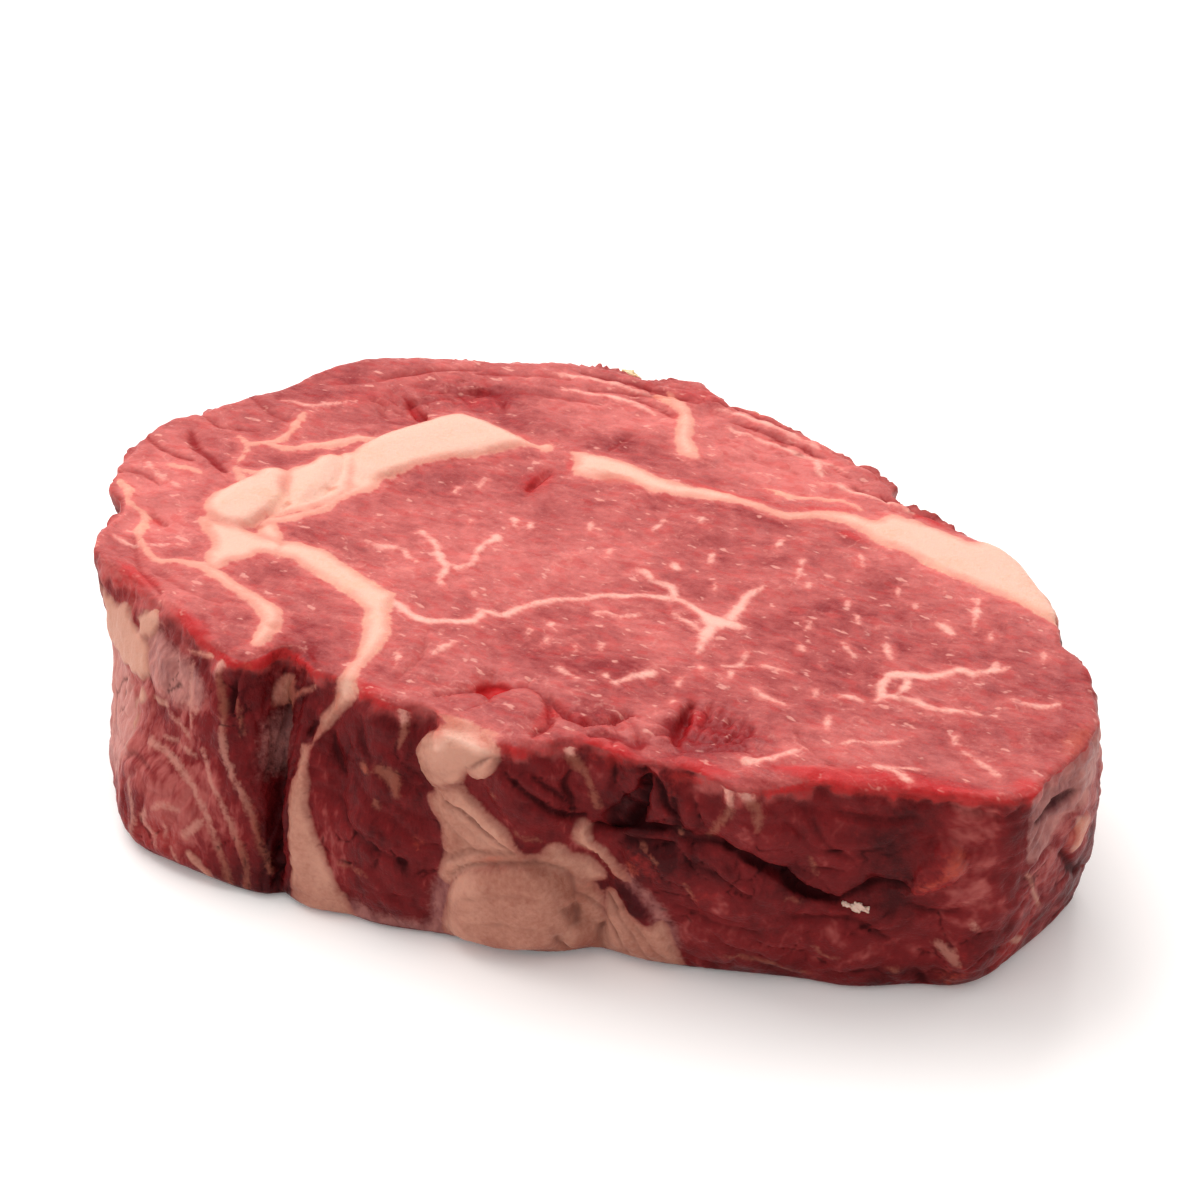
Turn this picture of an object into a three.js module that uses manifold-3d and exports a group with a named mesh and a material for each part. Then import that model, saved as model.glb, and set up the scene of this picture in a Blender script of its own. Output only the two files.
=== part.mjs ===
// A thick raw rib eye steak, as one solid that rests on its flat underside.
// Millimetres, +Z up. X runs along the steak, the origin is at the middle of the underside.
import * as THREE from "three";
import { ConvexGeometry } from "three/addons/geometries/ConvexGeometry.js";
import { mergeVertices } from "three/addons/utils/BufferGeometryUtils.js";
import Module from "manifold-3d";

const wasm = await Module();
wasm.setup();

// Driving dimensions
const THICKNESS = 38;        // from the underside to the cut face
const WALL_BULGE = 2.0;      // how far the side swells at half height
const FOOT_ROUND = 1.8;      // rounding of the lower edge
const RIM_ROUND = 1.3;       // rounding of the upper edge
const CLEARANCE = 2.0;       // how far a cutter's mouth stands clear of the surface it cuts
const ROOT_DEPTH = 1.5;      // how deep a raised pad is rooted in the body
const FRONT_SPACING = 2.2;   // column spacing where the side is rich in folds
const BACK_SPACING = 4.4;    // column spacing on the plainer back
const FRONT_REACH = [-66, 118];  // the rich stretch, as distances along the rim
const WALL_STEP = 2.6;       // row spacing on the side
const HEART = new THREE.Vector3(-20, 8, 0);  // every point of both outlines can be seen from here

// Fineness of the mesh
const ROUND_STEPS = 3;       // rows in each rounded edge
const CURVE_STEPS = 12;      // samples between two stations of the rim
const SEARCH_STEPS = 24;     // halvings in a search along the rim
const WELD = 1e-4;           // points closer than this are one
// Rings of the cut face, as the share of the way from the rim to the heart
const FACE_RINGS = [0.03, 0.07, 0.12, 0.18, 0.25, 0.33, 0.42, 0.52, 0.64, 0.78];
// Rings of a raised pad: share of its outline, then share of its height, the first one buried
const PAD_RINGS = [[1, -1], [1, 0.15], [0.92, 0.7], [0.7, 1]];

// The rim runs anticlockwise from the slit between the small left muscle and the rest.
// Each row is one station: upper edge x, y, then lower edge x, y.
const RIM = [
  [-30.2, -41.6, -25.8, -54.6], [-28.0, -42.0, -23.0, -55.6], [-24.0, -44.4, -19.5, -56.0],
  [-19.5, -44.2, -14.0, -54.6], [-14.5, -46.9, -9.0, -54.4], [-9.5, -47.2, -3.5, -53.0],
  [-4.8, -45.8, 1.0, -51.8], [-0.8, -47.6, 5.0, -51.0], [4.0, -46.8, 9.7, -50.3],
  [9.3, -48.0, 15.0, -48.7], [14.5, -46.3, 19.0, -46.6], [18.5, -43.5, 22.5, -43.6],
  [28.0, -43.4, 30.0, -42.8], [36.5, -41.9, 37.0, -40.9], [44.2, -43.0, 44.0, -38.4],
  [47.5, -40.7, 47.5, -37.2], [52.5, -36.4, 52.0, -35.7], [60.5, -34.0, 60.0, -33.6],
  [70.0, -30.6, 68.0, -28.6], [77.5, -28.2, 72.8, -26.4], [81.0, -25.0, 75.6, -22.8],
  [82.6, -18.0, 77.5, -17.0], [84.2, -8.0, 80.0, -7.0], [82.5, -1.5, 80.8, 1.0],
  [79.4, 4.5, 79.0, 5.0], [77.0, 9.0, 75.5, 8.0], [73.0, 10.9, 72.0, 11.0],
  [68.0, 18.5, 66.0, 17.5], [63.0, 24.0, 60.5, 23.0], [56.0, 30.8, 54.0, 28.5],
  [50.0, 32.7, 48.0, 31.0], [42.5, 35.9, 41.0, 34.0], [33.8, 37.4, 33.0, 37.0],
  [31.3, 41.0, 29.5, 40.0], [26.5, 44.7, 24.5, 42.0], [21.5, 46.0, 20.0, 44.0],
  [9.0, 50.0, 8.0, 47.0], [4.0, 52.2, 2.5, 49.5], [-4.5, 52.5, -5.0, 50.5],
  [-8.0, 55.0, -9.0, 51.5], [-12.3, 56.7, -14.0, 52.0], [-16.5, 55.2, -18.0, 51.5],
  [-20.0, 53.0, -21.5, 50.5], [-26.0, 54.0, -27.0, 50.0], [-38.0, 50.0, -37.5, 47.0],
  [-44.5, 46.7, -44.0, 44.0], [-56.0, 42.4, -54.0, 40.0], [-64.5, 37.1, -61.5, 35.0],
  [-69.2, 31.0, -66.0, 28.5], [-72.5, 22.0, -70.0, 21.0], [-77.0, 14.3, -73.5, 13.0],
  [-79.8, 8.3, -76.0, 6.0], [-83.8, 3.0, -77.5, 0.0], [-83.7, -5.0, -77.5, -8.0],
  [-82.2, -13.0, -76.0, -16.0], [-79.5, -17.0, -74.5, -21.0], [-75.0, -20.8, -73.0, -25.0],
  [-74.0, -24.5, -71.5, -29.0], [-74.2, -28.0, -70.5, -32.0], [-72.8, -32.3, -69.0, -36.0],
  [-69.8, -35.9, -66.5, -40.5], [-65.5, -37.0, -63.5, -45.0], [-58.0, -39.0, -59.0, -50.5],
  [-50.0, -42.4, -52.0, -55.6], [-43.0, -45.8, -44.0, -56.4], [-37.0, -47.9, -36.0, -57.0],
  [-33.0, -47.8, -30.0, -56.9], [-31.6, -44.8, -27.3, -56.2],
];

// The two edges as smooth closed curves that share one parameter
const edge = (x, y) => new THREE.CatmullRomCurve3(
  RIM.map((station) => new THREE.Vector3(station[x], station[y], 0)), true, "centripetal");
const upperEdge = edge(0, 1);
const lowerEdge = edge(2, 3);

// Distance along the rim at half height, measured from the slit
const RIM_SAMPLES = RIM.length * CURVE_STEPS;
const rimTable = [0];
for (let i = 1, last = midRim(0); i <= RIM_SAMPLES; i += 1) {
  const here = midRim(i / RIM_SAMPLES);
  rimTable.push(rimTable[i - 1] + here.distanceTo(last));
  last = here;
}
const RIM_LENGTH = rimTable[RIM_SAMPLES];

function midRim(t) {
  return lowerEdge.getPoint(t).lerp(upperEdge.getPoint(t), 0.5);
}

function rimParameter(along) {
  const target = THREE.MathUtils.euclideanModulo(along, RIM_LENGTH);
  let low = 0;
  let high = RIM_SAMPLES;
  while (high - low > 1) {
    const middle = (low + high) >> 1;
    if (rimTable[middle] <= target) low = middle;
    else high = middle;
  }
  return (low + (target - rimTable[low]) / (rimTable[high] - rimTable[low])) / RIM_SAMPLES;
}

// Soft lumps and hollows of the surface: centre x, y, z, radii x, y, z, height outward or upward
const LUMPS = [
  [-72, -33, 17, 15, 15, 12, -3.6],     // waist of the left end
  [-72, -30, 30, 14, 14, 9, -1.8],      // the same, higher up
  [-46, -55, 9, 9, 20, 8, 1.1],         // round muscle at the foot of the left block
  [-50, -52, 21, 12, 20, 4, -0.9],      // hollow above it
  [-46, -46, 32, 14, 20, 5, 0.6],       // shoulder under the upper edge of the left block
  [-24, -50, 14, 3.5, 20, 18, 1.0],     // strip of fat beside the slit
  [-11, -52, 12, 7, 20, 9, 0.7],        // dark muscle between the two bodies of fat
  [-10, -48, 29, 6, 20, 4, -0.8],       // hollow over it
  [12, -49, 31, 7, 20, 5, 0.9],         // muscle beside the loose flap
  [21, -45, 20, 5, 20, 4, -1.0],        // dip where the fat tapers off
  [40, -43, 33, 9, 20, 5, 1.1],         // overhanging muscle
  [59, -36, 29, 9, 20, 7, 1.4],         // the same, further right
  [63, -32, 22, 4.5, 20, 4, -1.4],      // pocket left of the red flap
  [44, -40, 14, 11, 20, 7, 0.8],        // lower muscle
  [65, -31, 10, 4, 20, 3, -1.2],        // dimple in the lower muscle
  [74, -26, 6, 4.5, 8, 6, 1.2],         // lobe at the right foot
  [74, -30, 35, 5, 10, 2.5, -1.0],      // gap under the upper edge on the right
  [82, -10, 26, 20, 9, 9, 0.2],         // swell of the right end
  [30, 42, 20, 14, 20, 10, 0.9],        // swells and dips of the back
  [-12, 53, 16, 10, 20, 9, -1.2],
  [-50, 43, 18, 12, 20, 10, 1.0],
  [-80, 0, 22, 20, 12, 9, 0.8],
  [66, 20, 16, 12, 12, 8, -0.9],
  [-50, 25.5, 38, 5, 6, 20, -1.5],      // hollows of the cut face behind the thick fat
  [-41, 34, 38, 6, 5, 20, -1.2],
  [-21, 14.5, 38, 5, 6, 20, -1.1],      // red hollow beside the fat
  [1.7, -37.8, 38, 3.5, 3.5, 20, -1.5], // pit in the eye
  [34.5, -33, 38, 6, 7, 20, -0.9],      // torn patch at the front
  [9, -42, 38, 5, 4, 20, 0.5],          // rounded lobe beside the pit
  [-44, 13, 38, 8, 10, 20, 0.7],        // thick fat standing proud
  [-58, -13, 38, 6, 10, 20, 0.5],
  [10, 34, 38, 26, 9, 20, -0.6],        // long dip of the cap muscle
  [66, -20, 38, 12, 8, 20, -0.7],       // the cut face falls away at the right end
];

function lumpHeight(point) {
  let height = 0;
  LUMPS.forEach(([x, y, z, rx, ry, rz, h]) => {
    const reach = ((point.x - x) / rx) ** 2 + ((point.y - y) / ry) ** 2 + ((point.z - z) / rz) ** 2;
    height += h * Math.exp(-reach);
  });
  return height;
}

// A point on the side at a distance along the rim and a height, "out" from the plain surface
function sidePoint(along, z, out = 0) {
  const t = rimParameter(along);
  const level = z / THICKNESS;
  const point = lowerEdge.getPoint(t).lerp(upperEdge.getPoint(t), level);
  const outward = new THREE.Vector3(point.x - HEART.x, point.y - HEART.y, 0).normalize();
  point.z = z;
  const swell = Math.sin(Math.PI * level);
  point.addScaledVector(outward, WALL_BULGE * swell + lumpHeight(point) * Math.sqrt(swell) + out);
  return point;
}

// A point on the cut face, lifted by its lumps, "out" above the plain surface
function facePoint(x, y, out = 0) {
  const point = new THREE.Vector3(x, y, THICKNESS);
  point.z += lumpHeight(point) + out;
  return point;
}

// A point on the front, found by its place seen from the front
function frontPoint(x, z, out = 0) {
  let low = FRONT_REACH[0];
  let high = FRONT_REACH[1];
  for (let i = 0; i < SEARCH_STEPS; i += 1) {
    const middle = (low + high) / 2;
    if (sidePoint(middle, z).x < x) low = middle;
    else high = middle;
  }
  return sidePoint(low, z, out);
}

// Rows of the side from the underside up: height and inset
const rows = [];
for (let i = 0; i < ROUND_STEPS; i += 1) {
  const turn = (i / ROUND_STEPS) * Math.PI / 2;
  rows.push([FOOT_ROUND * (1 - Math.cos(turn)), FOOT_ROUND * (1 - Math.sin(turn))]);
}
const wallRows = Math.round((THICKNESS - FOOT_ROUND - RIM_ROUND) / WALL_STEP);
for (let i = 0; i <= wallRows; i += 1) {
  rows.push([FOOT_ROUND + (THICKNESS - FOOT_ROUND - RIM_ROUND) * i / wallRows, 0]);
}
for (let i = 1; i <= ROUND_STEPS; i += 1) {
  const turn = (i / ROUND_STEPS) * Math.PI / 2;
  rows.push([THICKNESS - RIM_ROUND * (1 - Math.sin(turn)), RIM_ROUND * (1 - Math.cos(turn))]);
}

// Columns round the rim, closer together where the side is rich in folds
const columns = [];
for (let along = FRONT_REACH[0]; along < FRONT_REACH[0] + RIM_LENGTH - BACK_SPACING / 2;) {
  columns.push(along);
  along += along < FRONT_REACH[1] ? FRONT_SPACING : BACK_SPACING;
}

function loft() {
  const points = [];
  const triangles = [];
  const ringOf = (place) => {
    const start = points.length;
    columns.forEach((along) => points.push(place(along)));
    return start;
  };
  const join = (below, above) => {
    columns.forEach((_, i) => {
      const next = (i + 1) % columns.length;
      triangles.push(below + i, below + next, above + next, below + i, above + next, above + i);
    });
  };
  let last = ringOf((along) => sidePoint(along, rows[0][0], -rows[0][1]));
  const foot = last;
  rows.slice(1).forEach(([z, inset]) => {
    const ring = ringOf((along) => sidePoint(along, z, -inset));
    join(last, ring);
    last = ring;
  });
  FACE_RINGS.forEach((share) => {
    const ring = ringOf((along) => {
      const flat = sidePoint(along, THICKNESS, -RIM_ROUND).lerp(HEART, share);
      return facePoint(flat.x, flat.y);
    });
    join(last, ring);
    last = ring;
  });
  points.push(facePoint(HEART.x, HEART.y), HEART.clone());
  const topMiddle = points.length - 2;
  const footMiddle = points.length - 1;
  columns.forEach((_, i) => {
    const next = (i + 1) % columns.length;
    triangles.push(last + i, last + next, topMiddle, foot + next, foot + i, footMiddle);
  });
  const geometry = new THREE.BufferGeometry();
  geometry.setAttribute("position",
    new THREE.Float32BufferAttribute(points.flatMap((p) => [p.x, p.y, p.z]), 3));
  geometry.setIndex(triangles);
  return geometry;
}

// A closed geometry as a solid, and back
function toSolid(geometry) {
  geometry.deleteAttribute("normal");
  geometry.deleteAttribute("uv");
  const merged = mergeVertices(geometry, WELD);
  return new wasm.Manifold(new wasm.Mesh({
    numProp: 3,
    vertProperties: new Float32Array(merged.getAttribute("position").array),
    triVerts: new Uint32Array(merged.index.array),
  }));
}

function toGeometry(solid) {
  const mesh = solid.getMesh();
  const geometry = new THREE.BufferGeometry();
  geometry.setAttribute("position", new THREE.Float32BufferAttribute(mesh.vertProperties, 3));
  geometry.setIndex(Array.from(mesh.triVerts));
  geometry.computeVertexNormals();
  return geometry;
}

// A groove cut along a path on a surface. Each stop is u, v, half width and depth. The deepest
// line runs in the middle, or nearer one side by "lean", from -1 to 1.
function cutGroove(body, surface, path, lean = 0) {
  const sections = path.map(([u, v, halfWidth, depth], i) => {
    const before = path[Math.max(i - 1, 0)];
    const after = path[Math.min(i + 1, path.length - 1)];
    const along = new THREE.Vector2(after[0] - before[0], after[1] - before[1]).normalize();
    const across = new THREE.Vector2(-along.y, along.x).multiplyScalar(halfWidth);
    return [
      surface(u + across.x, v + across.y, CLEARANCE),
      surface(u - across.x, v - across.y, CLEARANCE),
      surface(u + across.x, v + across.y, 0),
      surface(u - across.x, v - across.y, 0),
      surface(u + across.x * lean, v + across.y * lean, -depth),
    ];
  });
  let result = body;
  sections.slice(1).forEach((section, i) => {
    const wedge = new ConvexGeometry([...sections[i], ...section]);
    result = result.subtract(toSolid(wedge));
  });
  return result;
}

// A rounded pad raised over a convex outline on a surface
function addPad(body, surface, outline, height) {
  const middle = outline.reduce((sum, [u, v]) => [sum[0] + u, sum[1] + v], [0, 0])
    .map((sum) => sum / outline.length);
  const points = [];
  PAD_RINGS.forEach(([share, lift]) => outline.forEach(([u, v]) => {
    const out = lift < 0 ? -ROOT_DEPTH : height * lift;
    points.push(surface(middle[0] + (u - middle[0]) * share, middle[1] + (v - middle[1]) * share, out));
  }));
  return body.add(toSolid(new ConvexGeometry(points)));
}

// Raised pads on the front, as outlines x, z seen from the front
const PADS = [
  { height: 1.0, outline: [[-4.2, 31.5], [-3, 33.5], [-0.5, 36.3], [8.6, 36.3], [9.4, 33.8], [6.2, 31],
    [-1, 28.6], [-3, 29.4]] },                                             // loose flap of fat
  { height: 1.7, outline: [[2.2, 3], [2.2, 10], [4, 13.5], [9, 17.2], [14, 18.5], [18, 16.6], [20, 12.5],
    [20, 7], [18, 2.8], [10, 2]] },                                        // round body of fat
  { height: 1.2, outline: [[24.5, 3], [24.6, 9], [26, 14.5], [28, 15.6], [31, 12], [33.5, 6.5],
    [34, 3], [29, 2.2]] },                                                 // its right wing
  { height: 1.2, outline: [[19, 3.5], [19.3, 6.2], [21, 7.3], [22.6, 6], [22.8, 3.4], [21, 2.2]] },  // curl
  { height: 1.3, outline: [[66.5, 20.6], [68.5, 25.5], [71, 29.8], [73, 29.9], [74.2, 27], [73.2, 24],
    [70.5, 21.3], [68, 20.2]] },                                           // red flap
];

// Cuts on the front: stops x, z, half width, depth
const FRONT_CUTS = [
  { lean: -0.8, path: [[-28.6, 33.5, 0.6, 1.0], [-28.6, 28.5, 1.6, 4.5], [-28.5, 22, 1.6, 5.5],
    [-28.0, 16, 1.2, 5.5], [-27.0, 10, 0.9, 4.5], [-26.4, 5, 0.7, 3.5], [-26.0, -1, 0.7, 3]] },  // slit
  { lean: 0, path: [[31, 35.3, 0.4, 0.8], [29.3, 31.5, 1.2, 3.5], [28, 28.4, 1.8, 5],
    [25.3, 26, 1.1, 4], [22.4, 25, 0.4, 1]] },                             // deep hollow
  { lean: 0.6, path: [[27, 27, 0.8, 4.5], [33, 27.2, 0.5, 2.5], [38, 26.6, 0.7, 2.6], [41, 26.9, 0.6, 2],
    [45.5, 26.4, 0.5, 1.8], [50, 22.6, 0.9, 3], [53.5, 19, 0.8, 2.8], [58.5, 16.8, 0.7, 2.2],
    [62, 14.6, 0.5, 1.4], [65, 13.3, 0.3, 0.6]] },                         // long crack under the overhang
  { lean: 0, path: [[33.4, 33.6, 0.3, 0.6], [34.6, 31, 0.6, 1.5], [35, 28.4, 0.4, 1]] },
  { lean: 0, path: [[49.5, 33.4, 0.4, 0.7], [51.5, 31, 0.9, 1.5], [53.2, 28.6, 0.4, 0.8]] },
  { lean: 0, path: [[61, 25.5, 0.5, 0.8], [62.5, 21.5, 1.1, 2], [62.3, 18, 0.5, 1]] },
  { lean: 0, path: [[24, 9, 0.3, 0.8], [23.6, 5, 0.9, 2], [24, -1, 0.9, 2]] },  // fold right of the curl
  { lean: 0, path: [[20.2, 11.5, 0.4, 0.8], [20.9, 9, 0.9, 1.8], [19.6, 7.6, 0.3, 0.8]] },
  { lean: 0, path: [[14, 24, 0.3, 0.6], [19, 27.8, 0.5, 1.3], [24.5, 32.5, 0.3, 0.7]] },
  { lean: 0, path: [[-21.6, 31, 0.3, 0.8], [-22.6, 28, 0.7, 1.5], [-23.4, 25.4, 0.3, 0.8]] },
  { lean: 0, path: [[-18.9, 29.6, 0.3, 0.6], [-17.6, 25.6, 0.7, 1.3], [-15.8, 23.8, 0.3, 0.6]] },
];

// Cuts in the cut face: stops x, y, half width, depth
const FACE_CUTS = [
  { lean: 0, path: [[-51, 28, 0.4, 0.6], [-47.8, 25.8, 0.8, 1.8], [-44.8, 23.6, 0.4, 0.8]] },
  { lean: 0, path: [[-20.2, 19.6, 0.3, 0.6], [-20.4, 14.5, 0.7, 1.3], [-19.5, 9.5, 0.3, 0.6]] },
  { lean: 0, path: [[-2.5, -35.4, 0.3, 0.4], [1.7, -37.8, 0.9, 1.5], [4.4, -41, 0.3, 0.5]] },
  { lean: 0, path: [[30.2, -26.5, 0.3, 0.4], [29.9, -31, 0.8, 1.3], [30.4, -36, 0.4, 0.7]] },
  { lean: 0, path: [[8, -34.6, 0.3, 0.4], [12.2, -37.4, 0.6, 1.1], [13.8, -41.5, 0.3, 0.6]] },
];

function buildSteak() {
  let body = toSolid(loft());
  PADS.forEach(({ outline, height }) => { body = addPad(body, frontPoint, outline, height); });
  FRONT_CUTS.forEach(({ path, lean }) => { body = cutGroove(body, frontPoint, path, lean); });
  FACE_CUTS.forEach(({ path, lean }) => { body = cutGroove(body, facePoint, path, lean); });
  return toGeometry(body);
}

const rawBeef = new THREE.MeshStandardMaterial({
  name: "raw_beef",
  color: new THREE.Color().setRGB(0.66, 0.25, 0.24, THREE.SRGBColorSpace),
  roughness: 0.42,
  metalness: 0,
});
const steak = new THREE.Mesh(buildSteak(), rawBeef);
steak.name = "steak";

const part = new THREE.Group();
part.add(steak);

export default part;
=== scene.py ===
"""A thick raw rib eye steak with its fat, seams and marbling, on a plain pale stage."""

import math

import bmesh
import bpy
import numpy as np
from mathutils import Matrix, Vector


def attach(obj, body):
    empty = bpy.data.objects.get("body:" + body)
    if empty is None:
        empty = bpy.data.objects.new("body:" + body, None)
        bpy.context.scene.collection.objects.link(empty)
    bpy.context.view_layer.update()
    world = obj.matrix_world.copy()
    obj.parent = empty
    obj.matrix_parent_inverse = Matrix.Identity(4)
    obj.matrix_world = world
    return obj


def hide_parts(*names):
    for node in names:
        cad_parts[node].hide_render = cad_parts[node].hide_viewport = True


bl_info = {
    "name": "Raw beef steak",
    "version": (1, 0, 0),
    "blender": (4, 5, 0),
    "location": "View3D > Sidebar > Steak",
    "description": "Dresses the steak solid as raw beef with fat, seams and marbling",
    "category": "Add Mesh",
}

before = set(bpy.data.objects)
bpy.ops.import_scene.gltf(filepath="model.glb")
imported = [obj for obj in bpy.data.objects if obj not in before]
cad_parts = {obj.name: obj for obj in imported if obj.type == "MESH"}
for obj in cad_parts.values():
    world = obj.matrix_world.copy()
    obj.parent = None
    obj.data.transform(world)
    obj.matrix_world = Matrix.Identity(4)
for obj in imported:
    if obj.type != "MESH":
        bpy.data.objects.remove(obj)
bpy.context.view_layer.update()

MM = 0.001
THICKNESS = 38.0             # height of the cut face in mm
HEART = (-20.0, 8.0)         # middle of the steak, from which directions round it are measured
TRIANGLE_LIMIT = 190_000
FAR = -9.0                   # distance given to points that are nowhere near a feature
REACH = 5.0                  # features are measured this far beyond their own box
CURVE_SAMPLES = 3            # points between two stops of a smooth line
GRAIN_SLANT = 66.0           # direction of the grain of the cut face, in degrees
FRONT_ANGLES = (-142.0, -19.0)   # directions from the heart between which the front lies
RIGHT_ANGLES = (-19.0, 3.0)      # the same for the right end
ANGLE_BLEND = 2.0

# Shapes on the cut face are drawn in plan, x and y in mm. Closed shapes are lists of corners,
# and lines are lists of stops with x, y and width.

FACE_FAT = [
    # thick kernel of fat
    [(-44.7, 23.7), (-43.7, 25.8), (-41.6, 27.9), (-39.5, 28.4), (-36.8, 28.2), (-33.7, 27.4), (-30, 26.3),
     (-26.3, 25.3), (-24.2, 24.4), (-26.3, 23.2), (-28.9, 21), (-30.5, 18.4), (-32.1, 16.3), (-34.7, 13.7),
     (-36.8, 11), (-38.5, 8.3), (-40.5, 5), (-41.7, 2.6), (-40.8, 0.2), (-43, -1.8), (-46, -0.5),
     (-48.4, 3.5), (-50, 6.9), (-49.5, 12.6), (-48.6, 16), (-47.1, 19.3), (-45, 22.5)],
    # three lobes beside it
    [(-53.1, 6.4), (-51.9, 6), (-49.8, 4), (-48.6, 1.2), (-47.6, -1.7), (-47.9, -4.5), (-49, -7.4),
     (-51, -8.1), (-53.6, -5.8), (-54.7, -1), (-54.5, 4.3)],
    [(-57.1, -1.4), (-59.5, -2.1), (-60.5, -4), (-60.3, -6), (-61.4, -7.9), (-62.4, -10.2), (-63.1, -13.1),
     (-62.9, -15.5), (-61.4, -17.9), (-59.5, -19.3), (-56.7, -20), (-53.8, -19.3), (-52.3, -17.9),
     (-52, -15), (-51.9, -11.2), (-52.1, -8.6), (-54, -5.9), (-55.3, -2)],
    [(-50.9, -15.9), (-49, -16), (-47.1, -17.4), (-46, -19.3), (-47.1, -20.2), (-50, -19.8), (-51.4, -18)],
    # where the seams meet
    [(-61.4, -19.3), (-59, -22.1), (-56.7, -23.6), (-55, -26), (-54.8, -27.9), (-53.3, -29.6),
     (-51.9, -30.8), (-50.3, -30.4), (-49.8, -27.9), (-47.9, -26), (-47, -23.8), (-44.6, -23.2),
     (-44.8, -19.2), (-48, -19.4), (-53.8, -18.9), (-57, -19.4)],
    # broad seam that runs to the front
    [(-45.6, -18.9), (-39.5, -18.4), (-35.2, -19.6), (-31.4, -21), (-26.2, -22.9), (-23.1, -23.6),
     (-22.2, -25.7), (-20.8, -28.6), (-18.5, -31.9), (-17.5, -34.8), (-17, -39.5), (-16.4, -47),
     (-19.6, -47), (-19.4, -41.9), (-20.3, -38.6), (-22.2, -34.3), (-24.5, -30), (-28.1, -27.7),
     (-32.9, -25.9), (-37.6, -24.5), (-42.4, -23.2), (-45.6, -23)],
    # strip of fat under the cap
    [(-19, 25.3), (-17.9, 26.3), (-12.6, 27.1), (-7.4, 26.6), (-4.2, 25.8), (0, 25.3), (5.8, 26.3),
     (11, 26.3), (15.8, 25.8), (19.5, 25.3), (22.6, 27.4), (25.8, 29.2), (30, 30), (33.2, 29.7),
     (34.2, 32.1), (36.3, 32.9), (41.6, 32.9), (45.8, 32.1), (49.5, 31.3), (52, 36), (62, 30), (74, 17),
     (72, 13.8), (69, 16), (65.3, 17.1), (60, 18.7), (54.7, 19.7), (49.5, 20.8), (44.7, 22.1), (40, 23.7),
     (36.3, 24.2), (33.2, 25.5), (30, 26.3), (26.8, 26.3), (23.2, 25.1), (20, 23.4), (15.3, 24.2),
     (11, 23.7), (7.4, 22.8), (3.2, 21.6), (-1.1, 20.6), (-6.3, 21.6), (-9.5, 21), (-11.6, 19.7),
     (-14.7, 19.7), (-16.3, 20.7), (-17.2, 23.2)],
    # fat between the lobes
    [(-57, -1.4), (-54, 3), (-52.6, 6.4), (-49, 8), (-46.4, 3.4), (-44.2, -2), (-45.6, -7), (-49, -12),
     (-52, -14), (-53.4, -8), (-55.6, -4)],
    # top of the loose flap, bent over the edge
    [(-2.2, -47), (-0.4, -46.8), (2.4, -46.2), (5.4, -46.8), (8.4, -47.2), (9.4, -50), (-3, -50)],
    # small piece of skin at the end of the kernel
    [(-23.9, 26.5), (-22.1, 25.3), (-23.2, 23.2), (-24.6, 24.6)],
]

FACE_SEAMS = [
    [(-43.6, -1.6, 2.4), (-45, -5.5, 2), (-45.5, -8.3, 1.8), (-47.1, -11.2, 2), (-48.6, -13.1, 2.2),
     (-50.6, -15, 2)],
    [(-76, -20.4, 0.9), (-71.9, -21.2, 1.2), (-69.5, -22.6, 1.5), (-68.1, -26.4, 1.4), (-64.8, -29.8, 1.3),
     (-61, -32.1, 1.4), (-57.6, -31.4, 1.5), (-53.8, -30.7, 2), (-49.5, -32.1, 2.4), (-44.8, -33.8, 2.4),
     (-40, -35.4, 2.8), (-36.4, -37.4, 3.6), (-35, -40, 3.6), (-34.4, -44, 3)],
    [(-69.5, 4, 1), (-67.1, 2.6, 1.4), (-65.7, 0.2, 1.3), (-64.8, -3.6, 1.2), (-63.3, -5.5, 1.4),
     (-61.2, -7.4, 1.8)],
    [(-64, 15.5, 0.9), (-63.6, 12.6, 1.4), (-62.9, 9.3, 1.3), (-63.1, 6.4, 1.4), (-64.8, 4.5, 1.6),
     (-66.2, 2.6, 1.5)],
    [(-64, 4.5, 1), (-61.4, 4.5, 1.4), (-59, 6, 1.6), (-56.7, 7.9, 2), (-54.8, 9.3, 2.2),
     (-51.9, 12.1, 2.4), (-49.8, 13.5, 2)],
    [(-60.4, -4.5, 1.2), (-63, -4.8, 1.1), (-64.8, -3.8, 0.8)],
    [(-74.3, -8.8, 0.8), (-71, -8.3, 1.1), (-68.1, -9, 0.7)],
    [(-79, -16.4, 1.5), (-76.2, -17.4, 1.3), (-74.8, -19.8, 1)],
    [(-52.2, -8.2, 1.6), (-51.6, -12, 1.4), (-51.4, -16.5, 1.4)],
    [(-15.3, 48.9, 1.5), (-10.5, 47.4, 2.3), (-7.9, 44.7, 2.6), (-6.3, 41.6, 2.9), (-4.7, 37.9, 3.3),
     (-2.6, 35.3, 3.2), (-0.5, 34.2, 1.4)],
    [(-14, 50.5, 1), (-12, 49, 1.2), (-9.5, 46.8, 1.6)],
    [(13.2, 31, 0.7), (17.9, 30.5, 1.1), (23.2, 32.6, 1.3), (25.8, 33.2, 1.2), (30, 31.6, 0.8)],
    [(-46, 50, 1.5), (-42, 50.5, 2), (-37, 52, 1.5)],
    [(-1, 53, 1.2), (3, 53.5, 1.6), (6, 52.5, 1.2)],
]

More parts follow.
